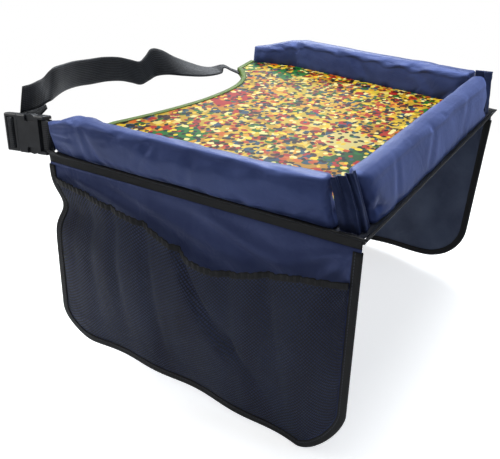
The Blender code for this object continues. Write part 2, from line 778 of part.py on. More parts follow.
def make_net_elastic(label, flap):
    """The elastic along the pocket's mouth, just above the net."""
    inset = BINDING_LEG + NET_EDGE_GAP
    lift = (ELASTIC_THICKNESS - NET_THICKNESS) / 2
    points = []
    for share in (0.0, 0.5, 1.0):
        for run in edge_runs(flap, NET_COLUMNS, inset):
            mouth = net_mouth(run, flap)
            depth = mouth - GAP - ELASTIC_HEIGHT * share
            points.append(flap_point(run, depth, flap, net_lift(run, mouth, flap) + lift))
    data = mesh_from(label, points, grid_faces(3, NET_COLUMNS))
    obj = add_object(label + "_pocket_elastic", data, elastic)
    return smooth(solidify(obj, ELASTIC_THICKNESS))


def make_flap(label, side, flap):
    frame = side_frame(label + "_flap_hinge", side, HINGE_Z, TAPE_PROUD)
    for piece in (
        make_flap_panel(label, flap),
        make_flap_binding(label, flap),
        make_net_pocket(label, flap),
        make_net_elastic(label, flap),
    ):
        piece.parent = frame


# Buckle. Local Y is the pull, Z the width and X the thickness


def buckle_frame():
    along = wing_direction(NEAR)
    out = outward(NEAR, along)
    spot = wing_end(NEAR) - out * WALL_THICKNESS / 2 + along * BUCKLE_STANDOFF
    lean = SIDE_LEAN * BUCKLE_HEIGHT / WALL_HEIGHT
    spot = spot + out * lean
    yaw = Matrix.Rotation(math.atan2(-along.x, along.y), 4, "Z")
    droop = Matrix.Rotation(math.radians(-BUCKLE_DROOP), 4, "X")
    roll = Matrix.Rotation(math.radians(BUCKLE_ROLL), 4, "Y")
    return Matrix.Translation((spot.x, spot.y, BUCKLE_HEIGHT)) @ yaw @ droop @ roll


def in_frame(obj):
    obj.matrix_world = buckle_frame()
    return obj


def make_socket():
    half_w, half_t = BUCKLE_WIDTH / 2, BUCKLE_THICKNESS / 2
    body = block("buckle_socket", (-half_t, 0, -half_w), (half_t, SOCKET_LENGTH, half_w), plastic)
    bevel(body, BUCKLE_ROUND)
    slot_half = WEBBING_WIDTH / 2 + WEBBING_SLACK
    slot_end = SOCKET_BAR + SLOT_LENGTH
    hollow_start = slot_end + SOCKET_FLOOR
    cuts = [
        block(
            "socket_hollow",
            (-HOLLOW_HALF_THICKNESS, hollow_start, -HOLLOW_HALF_WIDTH),
            (HOLLOW_HALF_THICKNESS, SOCKET_LENGTH + OVERRUN, HOLLOW_HALF_WIDTH),
            group=cutters,
        ),
        block(
            "socket_slot",
            (-half_t - OVERRUN, SOCKET_BAR, -slot_half),
            (half_t + OVERRUN, slot_end, slot_half),
            group=cutters,
        ),
    ]
    for sign, word in ((-1, "lower"), (1, "upper")):
        low, high = sorted((sign * WINDOW_INNER, sign * (half_w + OVERRUN)))
        cut = block(
            "socket_window_" + word,
            (-half_t - OVERRUN, WINDOW_START, low),
            (half_t + OVERRUN, WINDOW_END, high),
            group=cutters,
        )
        cuts.append(bevel(cut, BUCKLE_ROUND))
    for sign, word in ((-1, "front"), (1, "back")):
        low, high = sorted((sign * BAR_THICKNESS / 2, sign * (half_t + OVERRUN)))
        ends = (low, -OVERRUN, -slot_half), (high, slot_end, slot_half)
        cuts.append(block("socket_bar_relief_" + word, *ends, group=cutters))
    for cut in cuts:
        boolean(body, cut)
        in_frame(cut)
    return smooth(in_frame(body), 30)


def make_plug():
    """The plug's body with two webbing bars, its yoke in the socket's mouth and its guide tongue."""
    half_w, half_t = BUCKLE_WIDTH / 2, PLUG_THICKNESS / 2
    start = SOCKET_LENGTH + GAP
    end = start + PLUG_LENGTH
    slot_half = WEBBING_WIDTH / 2 + WEBBING_SLACK
    body = block("buckle_plug", (-half_t, start, -half_w), (half_t, end, half_w), plastic)
    bevel(body, BUCKLE_ROUND)
    yoke = block(
        "plug_yoke",
        (-ARM_HALF_THICKNESS, start - YOKE_DEPTH, -ARM_OUTER),
        (ARM_HALF_THICKNESS, start + YOKE_DEPTH, ARM_OUTER),
        group=cutters,
    )
    tongue = block(
        "plug_tongue",
        (-ARM_HALF_THICKNESS, TONGUE_TIP, -TONGUE_HALF_WIDTH),
        (ARM_HALF_THICKNESS, start, TONGUE_HALF_WIDTH),
        group=cutters,
    )
    bevel(tongue, HEAD_ROUND)
    for more in (yoke, tongue):
        boolean(body, more, "UNION")
        in_frame(more)
    for number in (1, 2):
        high = end - number * PLUG_BAR - (number - 1) * SLOT_LENGTH
        cut = block(
            f"plug_slot_{number}",
            (-half_t - OVERRUN, high - SLOT_LENGTH, -slot_half),
            (half_t + OVERRUN, high, slot_half),
            group=cutters,
        )
        boolean(body, cut)
        in_frame(cut)
    return smooth(in_frame(body), 30)


def arm_outline():
    """(along, across) points of a sprung arm: neck, catch, finger pad and tip."""
    root = SOCKET_LENGTH + GAP - YOKE_DEPTH - ARM_ROOT_GAP
    catch = WINDOW_END - CATCH_PLAY
    tip = WINDOW_START + HEAD_TIP_GAP
    head = catch - tip
    return root, [
        (root, ARM_INNER),
        (root, ARM_OUTER),
        (catch + HEAD_ROUND, ARM_OUTER),
        (catch, ARM_OUTER + HEAD_ROUND),
        (catch, CATCH_OUTER),
        (catch - head * PAD_SHARES[0], PAD_OUTER),
        (catch - head * PAD_SHARES[1], CATCH_OUTER),
        (tip, ARM_OUTER + HEAD_ROUND),
        (tip, ARM_INNER + HEAD_ROUND),
        (tip + HEAD_ROUND, ARM_INNER),
    ]


def make_arm(word, sign):
    """One arm, its origin at its root, where it bends when it is squeezed."""
    root, outline = arm_outline()
    pivot_z = sign * (ARM_INNER + ARM_OUTER) / 2
    shape = bmesh.new()
    front = [shape.verts.new((-ARM_HALF_THICKNESS, y - root, sign * z - pivot_z)) for y, z in outline]
    face = shape.faces.new(front)
    grown = bmesh.ops.extrude_face_region(shape, geom=[face])
    moved = [g for g in grown["geom"] if isinstance(g, bmesh.types.BMVert)]
    bmesh.ops.translate(shape, vec=(2 * ARM_HALF_THICKNESS, 0, 0), verts=moved)
    bmesh.ops.recalc_face_normals(shape, faces=shape.faces)
    data = bpy.data.meshes.new(word)
    shape.to_mesh(data)
    shape.free()
    obj = add_object("plug_arm_" + word, data, plastic)
    obj.matrix_world = buckle_frame() @ Matrix.Translation((0, root, pivot_z))
    return smooth(bevel(obj, HEAD_ROUND / 2, 1), 30)


# Webbing


def local_station(frame, x, y, z, across=(0, 0, 1), width=WEBBING_WIDTH):
    turned = (frame.to_3x3() @ Vector(across)).normalized()
    return frame @ Vector((x, y, z)), turned, width, WEBBING_THICKNESS


def bar_corner(x, y, first, last):
    """Points of webbing turning round a bar's corner, in local X and Y. Angles in degrees."""
    reach = GAP + WEBBING_THICKNESS / 2
    turns = [math.radians(first + (last - first) * k / 3) for k in range(4)]
    return [(x + reach * math.cos(turn), y + reach * math.sin(turn)) for turn in turns]


def make_tab():
    """The tab sewn into the wing's end, looped round the socket's bar."""
    frame = buckle_frame()
    half = BAR_THICKNESS / 2
    reach = half + GAP + WEBBING_THICKNESS / 2
    along, out = wing_direction(NEAR), outward(NEAR, wing_direction(NEAR))
    end = wing_end(NEAR) + along * (WEBBING_THICKNESS * TAB_STANDOFF_SHARE + GAP) - out * WALL_THICKNESS / 2
    end = end + out * SIDE_LEAN * BUCKLE_HEIGHT / WALL_HEIGHT
    side_step = out * (WEBBING_THICKNESS / 2 + GAP)
    width = min(WEBBING_WIDTH, NEAR_WING_END_HEIGHT)
    up = Vector((0, 0, 1))
    first = (end - side_step).to_3d() + up * BUCKLE_HEIGHT
    last = (end + side_step).to_3d() + up * BUCKLE_HEIGHT
    loop = [(reach, -BUCKLE_STANDOFF * TAB_BEND_SHARE)]
    loop += bar_corner(half, SOCKET_BAR, 0, 90) + bar_corner(-half, SOCKET_BAR, 90, 180)
    loop += [(-reach, -BUCKLE_STANDOFF * TAB_BEND_SHARE)]
    stations = [(first, up, width, WEBBING_THICKNESS)]
    stations += [local_station(frame, x, y, 0) for x, y in loop]
    stations += [(last, up, width, WEBBING_THICKNESS)]
    return ribbon("strap_tab", stations, webbing)


def route_spot(x, y, z):
    """A point from shares of the half width, the strap's reach past the waist and its rise."""
    return Vector((BASE_WIDTH / 2 * x, WAIST_Y + STRAP_REACH * y, STRAP_RISE * z))


def strap_route():
    """The free strap from its hemmed tail to the far horn, as centre, width direction and width."""
    # Shares of the route, the width direction's lean along x and y, and the share of the width
    route_shares = (
        (-1.075, 0.740, 1.080, 0.31, 0.00, 0.90),
        (-1.028, 0.682, 1.142, 0.30, 0.10, 0.90),
        (-0.970, 0.618, 1.290, 0.60, 0.75, 0.95),
        (-0.890, 0.640, 1.420, 0.20, 0.10, 1.00),
        (-0.740, 0.810, 1.300, 0.10, -0.10, 1.00),
        (-0.590, 0.940, 1.180, 0.00, -0.10, 1.00),
        (-0.440, 1.000, 1.060, 0.00, 0.00, 1.00),
        (-0.321, 1.000, 1.010, 0.00, 0.00, 1.00),
        (-0.204, 0.992, 0.900, 0.00, 0.00, 1.00),
        (-0.115, 0.976, 0.743, 0.00, 0.00, 1.00),
        (-0.041, 0.943, 0.608, 0.05, 0.00, 1.00),
        (0.030, 0.943, 0.696, 0.00, 0.10, 1.05),
        (0.105, 0.943, 0.841, -0.05, 0.15, 1.20),
        (0.164, 0.862, 0.822, 0.05, 0.40, 1.10),
        (0.238, 0.740, 0.659, 0.20, 1.00, 1.00),
        (0.384, 0.634, 0.427, 0.30, 2.50, 1.00),
        (0.526, 0.585, 0.290, 0.30, 6.00, 0.80),
    )
    made = []
    for number, (x, y, z, lean_x, lean_y, share) in enumerate(route_shares):
        across = Vector((lean_x, lean_y, 1)).normalized()
        layers = 2 if number < HEM_STATIONS else 1
        made.append((*route_spot(x, y, z), *across, WEBBING_WIDTH * share, WEBBING_THICKNESS * layers))
    anchor = waist_point(STRAP_ANCHOR_OFFSET)
    step = WAIST_TAPE_LEG
    ahead = (waist_point(STRAP_ANCHOR_OFFSET + step) - waist_point(STRAP_ANCHOR_OFFSET - step)).normalized()
    normal = Vector((-ahead.y, ahead.x))
    middle = PRINT_TOP / 2
    stand = 2 * GAP + WAIST_TAPE_THICKNESS
    for share in ANCHOR_STEP_SHARES:
        spot = anchor + normal * (stand + step * share)
        doubled = (STRAP_FOLDED_WIDTH, 2 * WEBBING_THICKNESS)
        height = middle * (1 + share * ANCHOR_RISE_SHARE)
        made.append((spot.x, spot.y, height, ahead.x, ahead.y, 0.0, *doubled))
    return made


def make_strap():
    stations = []
    for row in curve_through(strap_route(), STRAP_STEPS):
        stations.append((Vector(row[:3]), Vector(row[3:6]), float(row[6]), float(row[7])))
    return ribbon("waist_strap", stations, webbing)


def make_strap_end():
    """The part of the webbing that is threaded round the plug's bar and rises behind the buckle."""
    frame = buckle_frame()
    end = SOCKET_LENGTH + GAP + PLUG_LENGTH
    half = PLUG_THICKNESS / 2
    bar_high = end - PLUG_BAR - SLOT_LENGTH
    bar_low = bar_high - PLUG_BAR
    slot_low = bar_low - SLOT_LENGTH
    loop = [(half / 2, bar_high + GAP + WEBBING_THICKNESS / 2)]
    loop += bar_corner(-half, bar_high, 90, 180) + bar_corner(-half, bar_low, 180, 270)
    loop += bar_corner(half, slot_low, 90, 0)
    stations = [local_station(frame, x, y, 0) for x, y in loop]
    # Shares of the route, the width direction and the share of the webbing's width
    rise_shares = (
        ((-1.1075, 0.756, 0.263), (0.10, 0.10, 1.00), 1.0),
        ((-1.0625, 0.703, 0.474), (0.35, 0.50, 0.80), 0.70),
        ((-1.0175, 0.658, 0.671), (0.50, 0.80, 0.30), 0.50),
        ((-0.9775, 0.614, 0.830), (0.55, 0.83, 0.00), 0.40),
    )
    for place, lean, share in rise_shares:
        width = WEBBING_WIDTH * share
        stations.append((route_spot(*place), Vector(lean).normalized(), width, WEBBING_THICKNESS))
    return ribbon("strap_end", stations, webbing)


# Build

clear_scene()
parts = new_collection("Travel tray")
cutters = new_collection("Cutters")

nylon = material("Navy nylon", (0.043, 0.063, 0.180), 0.45)
foam = material("White foam", (0.82, 0.82, 0.78), 0.9)
gusset_cloth = material("Black gusset cloth", (0.012, 0.012, 0.018), 0.6)
lining_cloth = material("Black lining cloth", (0.015, 0.015, 0.022), 0.6)
flap_cloth = material("Dark navy cloth", (0.018, 0.024, 0.075), 0.55)
binding_cloth = material("Black binding tape", (0.008, 0.008, 0.010), 0.65)
edge_tape = material("Green edge tape", (0.130, 0.270, 0.035), 0.55)
board = material("Grey fibre board", (0.35, 0.33, 0.30), 0.85)
print_vinyl = material("Printed vinyl", (0.80, 0.62, 0.22), 0.35)
net = material("Black net", (0.010, 0.011, 0.020), 0.7)
elastic = material("Black elastic", (0.010, 0.010, 0.014), 0.7)
webbing = material("Black webbing", (0.020, 0.021, 0.026), 0.5)
plastic = material("Black acetal", (0.018, 0.019, 0.021), 0.35)

make_base()
make_waist_tape()
near_stations, far_stations = side_wall_stations(NEAR), side_wall_stations(FAR)
front_stations = front_wall_stations()
make_wall("near", near_stations, flip=True)
make_wall("far", far_stations, flip=False)
make_wall("front", front_stations, flip=False)
make_gusset("near", NEAR, near_stations, front_stations)
make_gusset("far", FAR, far_stations, front_stations)
make_side_tape("near", NEAR, NEAR_FLAP_LENGTH)
make_side_tape("far", FAR, FAR_FLAP_LENGTH)
front_reach = BASE_WIDTH / 2 - TAPE_THICKNESS * 2
block(
    "front_seam_tape",
    (-front_reach, FRONT_Y - TAPE_PROUD, -GAP - FRONT_TAPE_DROP),
    (front_reach, FRONT_Y - TAPE_PROUD + TAPE_THICKNESS, -GAP),
    binding_cloth,
)
round_corner = (FLAP_CORNER, FLAP_CORNER, ROUND_POWER)
near_flap = {
    "length": NEAR_FLAP_LENGTH,
    "drop": FLAP_DROP,
    "sag": NEAR_FLAP_SAG,
    "set": NEAR_FLAP_SET,
    "front": (NEAR_FRONT_CORNER, NEAR_FRONT_CORNER_RISE, NEAR_FRONT_CORNER_POWER),
    "back": (FLAP_CORNER, NEAR_BACK_CORNER_RISE, ROUND_POWER),
}
far_flap = {
    "length": FAR_FLAP_LENGTH,
    "drop": FLAP_DROP + FAR_FLAP_MORE_DROP,
    "sag": FAR_FLAP_SAG,
    "set": FAR_FLAP_SET,
    "front": round_corner,
    "back": round_corner,
}
make_flap("near", NEAR, near_flap)
make_flap("far", FAR, far_flap)
make_socket()
make_plug()
make_arm("upper", 1)
make_arm("lower", -1)
make_tab()
make_strap()
make_strap_end()
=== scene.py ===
# A child's lap travel tray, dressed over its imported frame.
# Metres, +Z up, +Y towards the child, +X from the buckled side to the other side.

import math

import bmesh
import bpy
import numpy as np
from mathutils import Matrix, Vector, noise


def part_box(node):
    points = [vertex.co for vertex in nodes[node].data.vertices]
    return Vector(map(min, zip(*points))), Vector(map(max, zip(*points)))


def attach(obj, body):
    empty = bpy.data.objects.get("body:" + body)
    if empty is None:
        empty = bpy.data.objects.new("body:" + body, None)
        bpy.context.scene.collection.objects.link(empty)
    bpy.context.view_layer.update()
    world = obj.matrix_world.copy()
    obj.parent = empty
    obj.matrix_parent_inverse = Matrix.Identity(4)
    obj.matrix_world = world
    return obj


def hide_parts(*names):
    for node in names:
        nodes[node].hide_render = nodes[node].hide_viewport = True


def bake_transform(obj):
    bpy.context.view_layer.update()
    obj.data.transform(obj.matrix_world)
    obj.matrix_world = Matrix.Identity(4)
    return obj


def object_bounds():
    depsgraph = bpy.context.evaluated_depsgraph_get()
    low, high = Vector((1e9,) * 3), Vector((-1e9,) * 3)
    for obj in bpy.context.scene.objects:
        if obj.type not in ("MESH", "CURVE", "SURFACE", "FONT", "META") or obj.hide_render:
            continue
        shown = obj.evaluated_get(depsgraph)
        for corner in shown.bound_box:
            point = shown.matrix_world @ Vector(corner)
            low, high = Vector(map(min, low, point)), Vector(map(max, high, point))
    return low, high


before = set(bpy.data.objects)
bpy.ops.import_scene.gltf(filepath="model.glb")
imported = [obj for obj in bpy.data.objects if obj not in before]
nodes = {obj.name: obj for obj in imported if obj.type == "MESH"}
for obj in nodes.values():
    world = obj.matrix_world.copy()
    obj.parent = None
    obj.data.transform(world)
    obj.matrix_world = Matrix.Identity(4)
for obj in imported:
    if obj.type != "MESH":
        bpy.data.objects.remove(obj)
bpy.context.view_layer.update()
scene = bpy.context.scene
print("frame loaded")

near, far = -1, 1
gap = 0.0003

# Sizes that the frame's own pieces share with these
base = {
    "width": 0.400,
    "depth": 0.314,
    "flare": 0.0314,
    "printTop": 0.0088,
    "waistHalf": 0.144,
}
wings = {
    near: {"crease": 0.296, "length": 0.046, "toe": 0.0, "height": 0.037},
    far: {"crease": 0.310, "length": 0.078, "toe": 19.0, "height": 0.031},
}
horns = {near: (0.028, 1.6), far: (0.057, 3.0)}
wall = {"height": 0.050, "thickness": 0.020, "lean": 0.009}


# Colours and nodes


def srgb(code):
    shares = [int(code[i : i + 2], 16) / 255 for i in (1, 3, 5)]
    linear = [s / 12.92 if s <= 0.04045 else ((s + 0.055) / 1.055) ** 2.4 for s in shares]
    return (*linear, 1.0)


# Settings name an input, by name or number, or one of the node's own settings.
# A link comes from a socket, or from the first output of a node.
def setNode(tree, node, settings, links):
    for key, value in settings.items():
        if key == "stops":
            ramp = node.color_ramp
            while len(ramp.elements) < len(value):
                ramp.elements.new(1.0)
            for stop, (place, colour) in zip(ramp.elements, value):
                stop.position = place
                stop.color = colour
        elif key == "interpolation":
            node.color_ramp.interpolation = value
        elif isinstance(key, int) or key in node.inputs:
            node.inputs[key].default_value = value
        else:
            setattr(node, key, value)
    for key, source in links.items():
        socket = source.outputs[0] if hasattr(source, "outputs") else source
        tree.links.new(socket, node.inputs[key])
    return node


def addNode(tree, kind, settings=None, links=None):
    return setNode(tree, tree.nodes.new("ShaderNode" + kind), settings or {}, links or {})


def newMaterial(name, constants):
    made = bpy.data.materials.new(name)
    made.use_nodes = True
    tree = made.node_tree
    return made, tree, setNode(tree, tree.nodes["Principled BSDF"], constants, {})


# Blender's wave texture has this many bands for each unit of its scale
def waveScale(period):
    return math.pi / 10 / period


def darkToLight(look, low, high):
    return {"stops": [(low, srgb(look["dark"])), (high, srgb(look["light"]))]}


# Even steps through a list of colours, without blending
def colourSteps(codes):
    stops = [(i / len(codes), srgb(code)) for i, code in enumerate(codes)]
    return {"interpolation": "CONSTANT", "stops": stops}


# Cloth


# Coated nylon: a plain weave, soft mottling, creases that catch the light, a blue sheen.
# Its threads are drawn 0.5 mm wide, coarser than real, so that the weave shows.
def nylonMaterial(name, look):
    tint = srgb(look["sheenTint"])
    made, tree, shader = newMaterial(
        name,
        {
            "Sheen Weight": look["sheen"],
            "Sheen Roughness": 0.45,
            "Sheen Tint": tint,
            "Specular IOR Level": look["specular"],
            "Specular Tint": tint,
        },
    )
    spot = addNode(tree, "TexCoord").outputs["Object"]
    mottle = addNode(tree, "TexNoise", {"Scale": 1 / look["mottle"], "Detail": 5.0}, {"Vector": spot})
    colour = addNode(tree, "ValToRGB", darkToLight(look, 0.30, 0.70), {"Fac": mottle})
    spread = {"To Min": look["roughness"] - 0.07, "To Max": look["roughness"] + 0.07}
    rough = addNode(tree, "MapRange", spread, {"Value": mottle})
    threads = []
    for axis in "XYZ":
        bands = {"bands_direction": axis, "Scale": waveScale(look["thread"]), "Distortion": 0.4}
        threads.append(addNode(tree, "TexWave", bands, {"Vector": spot}).outputs["Fac"])
    first = addNode(tree, "Math", {"operation": "ADD"}, {0: threads[0], 1: threads[1]})
    weave = addNode(tree, "Math", {"operation": "ADD"}, {0: first, 1: threads[2]})
    fine = addNode(tree, "Bump", {"Strength": 0.35, "Distance": look["threadDepth"]}, {"Height": weave})
    folds = {"Scale": 1 / look["crease"], "Detail": 3.0, "Distortion": 1.2}
    crease = addNode(tree, "TexNoise", folds, {"Vector": spot})
    lift = {"Strength": 0.6, "Distance": look["creaseDepth"]}
    soft = addNode(tree, "Bump", lift, {"Height": crease, "Normal": fine})
    setNode(tree, shader, {}, {"Base Color": colour, "Roughness": rough, "Normal": soft})
    return made


# Woven tape: ribs across it, a soft edge to each rib, painted highlight on the ribs and painted shade
# between them, and a row of stitches where it is sewn
def tapeMaterial(name, look):
    made, tree, shader = newMaterial(
        name,
        {
            "Sheen Weight": look["sheen"],
            "Sheen Roughness": 0.5,
            "Sheen Tint": srgb(look["light"]),
            "Specular IOR Level": 0.35,
        },
    )
    uv = addNode(tree, "TexCoord").outputs["UV"]
    waves = []
    for axis, period in (("X", look["rib"]), ("Y", look["yarn"])):
        bands = {"bands_direction": axis, "Scale": waveScale(period), "Distortion": 0.3}
        waves.append(addNode(tree, "TexWave", bands, {"Vector": uv}).outputs["Fac"])
    both = addNode(tree, "Math", {"operation": "MULTIPLY"}, {0: waves[0], 1: waves[1]})
    cloud = addNode(tree, "TexNoise", {"Scale": 90.0, "Detail": 4.0}, {"Vector": uv})
    share = addNode(tree, "Math", {"operation": "MULTIPLY"}, {0: both, 1: cloud})
    # The colour follows the ribs: lighter on their tops and darker between them is painted highlight and
    # shade, and the noise adds random tone
    shade = addNode(tree, "ValToRGB", darkToLight(look, 0.0, 0.55), {"Fac": share}).outputs["Color"]
    height = both
    if look["stitch"]:
        # Dashes along the tape, one row at the stitch's distance from its edge
        parts = addNode(tree, "SeparateXYZ", {}, {"Vector": uv})
        repeat = {"operation": "PINGPONG", 1: look["stitch"] / 2}
        dash = addNode(tree, "Math", repeat, {0: parts.outputs["X"]})
        isDash = addNode(tree, "Math", {"operation": "GREATER_THAN", 1: look["stitch"] * 0.14}, {0: dash})
        place = {"operation": "SUBTRACT", 1: look["stitchPlace"]}
        across = addNode(tree, "Math", place, {0: parts.outputs["Y"]})
        away = addNode(tree, "Math", {"operation": "ABSOLUTE"}, {0: across})
        isRow = addNode(tree, "Math", {"operation": "LESS_THAN", 1: look["stitchHalf"]}, {0: away})
        stitch = addNode(tree, "Math", {"operation": "MULTIPLY"}, {0: isDash, 1: isRow})
        thread = {"data_type": "RGBA", 7: srgb(look["thread"])}
        shade = addNode(tree, "Mix", thread, {0: stitch, 6: shade}).outputs[2]
        height = addNode(tree, "Math", {"operation": "ADD"}, {0: both, 1: stitch})
    spread = {"To Min": look["roughness"] + 0.1, "To Max": look["roughness"] - 0.1}
    rough = addNode(tree, "MapRange", spread, {"Value": both})
    bump = addNode(tree, "Bump", {"Strength": 0.8, "Distance": look["depth"]}, {"Height": height})
    setNode(tree, shader, {}, {"Base Color": shade, "Roughness": rough, "Normal": bump})
    return made


# Knitted net: round holes in rows, dark threads with a faint shine.
# The holes are drawn 2.7 mm apart, coarser than real, so that they show.
def netMaterial(name, look):
    made, tree, shader = newMaterial(
        name,
        {
            "Sheen Weight": 0.25,
            "Sheen Roughness": 0.4,
            "Sheen Tint": srgb(look["light"]),
            "Specular IOR Level": 0.4,
            "Roughness": 0.6,
        },
    )
    uv = addNode(tree, "TexCoord").outputs["UV"]
    turned = addNode(tree, "Mapping", {"Rotation": (0.0, 0.0, math.radians(45))}, {"Vector": uv})
    cells = {"voronoi_dimensions": "2D", "Scale": 1 / look["hole"], "Randomness": 0.06}
    cell = addNode(tree, "TexVoronoi", cells, {"Vector": turned})
    edge = {"From Min": look["open"] - 0.04, "From Max": look["open"] + 0.04}
    thread = addNode(tree, "MapRange", edge, {"Value": cell})
    # The darker bands that fan down from the mouth are painted fold shade on the slack net
    bands = {"Rotation": (0.0, 0.0, -0.25), "Scale": (22.0, 5.0, 1.0)}
    foldShadeSpot = addNode(tree, "Mapping", bands, {"Vector": uv})
    foldShadeNoise = {"Scale": 1.0, "Detail": 3.0, "Distortion": 0.6}
    cloud = addNode(tree, "TexNoise", foldShadeNoise, {"Vector": foldShadeSpot})
    colour = addNode(tree, "ValToRGB", darkToLight(look, 0.41, 0.60), {"Fac": cloud})
    bump = addNode(tree, "Bump", {"Strength": 0.7, "Distance": 0.0004}, {"Height": cell})
    setNode(tree, shader, {}, {"Alpha": thread, "Base Color": colour, "Normal": bump})
    return made


# Moulded plastic: fine spark texture, slightly paler in worn patches
def plasticMaterial(name, look):
    made, tree, shader = newMaterial(name, {"Specular IOR Level": 0.5})
    spot = addNode(tree, "TexCoord").outputs["Object"]
    grain = addNode(tree, "TexNoise", {"Scale": 1 / look["grain"], "Detail": 3.0}, {"Vector": spot})
    cloud = addNode(tree, "TexNoise", {"Scale": 120.0, "Detail": 4.0}, {"Vector": spot})
    colour = addNode(tree, "ValToRGB", darkToLight(look, 0.3, 0.75), {"Fac": cloud})
    spread = {"To Min": look["roughness"] - 0.06, "To Max": look["roughness"] + 0.08}
    rough = addNode(tree, "MapRange", spread, {"Value": cloud})
    bump = addNode(tree, "Bump", {"Strength": 0.3, "Distance": 0.00006}, {"Height": grain})
    setNode(tree, shader, {}, {"Base Color": colour, "Roughness": rough, "Normal": bump})
    return made


# Printed vinyl: a generic confetti of dots, bars and tiles on ochre yellow, under a satin face
def printMaterial(name, look):
    constants = {"Specular IOR Level": 0.06, "Coat Weight": 0.02, "Coat Roughness": 0.4}
    made, tree, shader = newMaterial(name, constants)
    spot = addNode(tree, "TexCoord").outputs["Object"]
    cells = {"voronoi_dimensions": "2D", "Scale": 1 / look["patch"], "Randomness": 1.0}
    patches = addNode(tree, "TexVoronoi", cells, {"Vector": spot})
    pick = addNode(tree, "SeparateColor", {}, {"Color": patches.outputs["Color"]})
    ground = addNode(tree, "ValToRGB", colourSteps(look["grounds"]), {"Fac": pick.outputs["Red"]})
    shade = ground.outputs["Color"]
    for layer in look["layers"]:
        laid = {
            "Location": (layer["shift"], layer["shift"] / 2, 0.0),
            "Rotation": (0.0, 0.0, math.radians(layer["turn"])),
            "Scale": (layer["stretch"], 1.0, 1.0),
        }
        moved = addNode(tree, "Mapping", laid, {"Vector": spot})
        cells = {
            "voronoi_dimensions": "2D",
            "distance": layer["shape"],
            "Scale": 1 / layer["size"],
            "Randomness": layer["scatter"],
        }
        cell = addNode(tree, "TexVoronoi", cells, {"Vector": moved})
        chance = addNode(tree, "SeparateColor", {}, {"Color": cell.outputs["Color"]})
        steps = colourSteps(layer["colours"])
        tint = addNode(tree, "ValToRGB", steps, {"Fac": chance.outputs["Green"]})
        some = {"operation": "LESS_THAN", 1: layer["share"]}
        chosen = addNode(tree, "Math", some, {0: chance.outputs["Blue"]})
        inside = addNode(tree, "Math", {"operation": "LESS_THAN", 1: layer["radius"]}, {0: cell})
        mask = addNode(tree, "Math", {"operation": "MULTIPLY"}, {0: chosen, 1: inside})
        mixed = addNode(tree, "Mix", {"data_type": "RGBA"}, {0: mask, 6: shade, 7: tint})
        shade = mixed.outputs[2]
    worn = addNode(tree, "TexNoise", {"Scale": 14.0, "Detail": 5.0}, {"Vector": spot})
    rough = addNode(tree, "MapRange", {"To Min": 0.32, "To Max": 0.52}, {"Value": worn})
    grain = addNode(tree, "TexNoise", {"Scale": 900.0, "Detail": 2.0}, {"Vector": spot})
    fine = addNode(tree, "Bump", {"Strength": 0.25, "Distance": 0.00005}, {"Height": grain})
    lift = {"Strength": 0.5, "Distance": 0.0012}
    sag = addNode(tree, "Bump", lift, {"Height": worn, "Normal": fine})
    setNode(tree, shader, {}, {"Base Color": shade, "Roughness": rough, "Normal": sag})
    return made


# Fibre board: pressed grey pulp with short darker fibres
def boardMaterial(name, look):
    made, tree, shader = newMaterial(name, {"Specular IOR Level": 0.2})
    spot = addNode(tree, "TexCoord").outputs["Object"]
    pulp = {"Scale": 260.0, "Detail": 8.0, "Distortion": 2.0}
    fibres = addNode(tree, "TexNoise", pulp, {"Vector": spot})
    colour = addNode(tree, "ValToRGB", darkToLight(look, 0.35, 0.65), {"Fac": fibres})
    rough = addNode(tree, "MapRange", {"To Min": 0.8, "To Max": 0.95}, {"Value": fibres})
    bump = addNode(tree, "Bump", {"Strength": 0.4, "Distance": 0.0002}, {"Height": fibres})
    setNode(tree, shader, {}, {"Base Color": colour, "Roughness": rough, "Normal": bump})
    return made


nylonLook = {
    "dark": "#2b3354",
    "light": "#3e486e",
    "mottle": 0.045,
    "thread": 0.0005,
    "threadDepth": 0.00005,
    "crease": 0.030,
    "creaseDepth": 0.0012,
    "roughness": 0.40,
    "sheen": 0.42,
    "sheenTint": "#86a2ff",
    "specular": 0.6,
}
flapLook = dict(
    nylonLook, dark="#2a2f4a", light="#3e4564", sheen=0.25, crease=0.030, creaseDepth=0.0030
)
backLook = dict(
    flapLook, dark="#343b50", light="#50596f", sheen=0.1, sheenTint="#c0c8d8", roughness=0.5
)
liningLook = dict(
    nylonLook, dark="#15161c", light="#22242d", sheen=0.15, sheenTint="#a0a4b4", roughness=0.6
)
# The gussets' near-black colour, darker than the wall nylon, is painted shade of the gap between the wall
# ends
gussetShadeLook = dict(
    nylonLook, dark="#12141d", light="#232839", sheen=0.14, crease=0.010, creaseDepth=0.0012
)
# A tape's dark colour is painted shade between its ribs and its light colour is painted highlight on them
bindingLook = {
    "dark": "#030304",
    "light": "#101116",
    "rib": 0.0009,
    "yarn": 0.0011,
    "depth": 0.00018,
    "roughness": 0.5,
    "sheen": 0.2,
    "stitch": 0.0032,
    "stitchPlace": 0.0022,
    "stitchHalf": 0.00028,
    "thread": "#3a3d48",
}
greenLook = dict(bindingLook, dark="#3c520e", light="#67802a", sheen=0.1, thread="#55701c")
elasticLook = dict(bindingLook, rib=0.0012, yarn=0.0007, stitch=0, light="#15171d")
webbingLook = {
    "dark": "#0d0e11",
    "light": "#3a3d43",
    "rib": 0.0017,
    "yarn": 0.0020,
    "depth": 0.00035,
    "roughness": 0.5,
    "sheen": 0.3,
    "stitch": 0,
}
# The net's dark and light colours are the two ends of its painted fold shade
netLook = {"dark": "#030407", "light": "#1a1e26", "hole": 0.0027, "open": 0.37}
plasticLook = {"dark": "#17181b", "light": "#26282c", "grain": 0.0004, "roughness": 0.38}
boardLook = {"dark": "#77736c", "light": "#9c978e"}
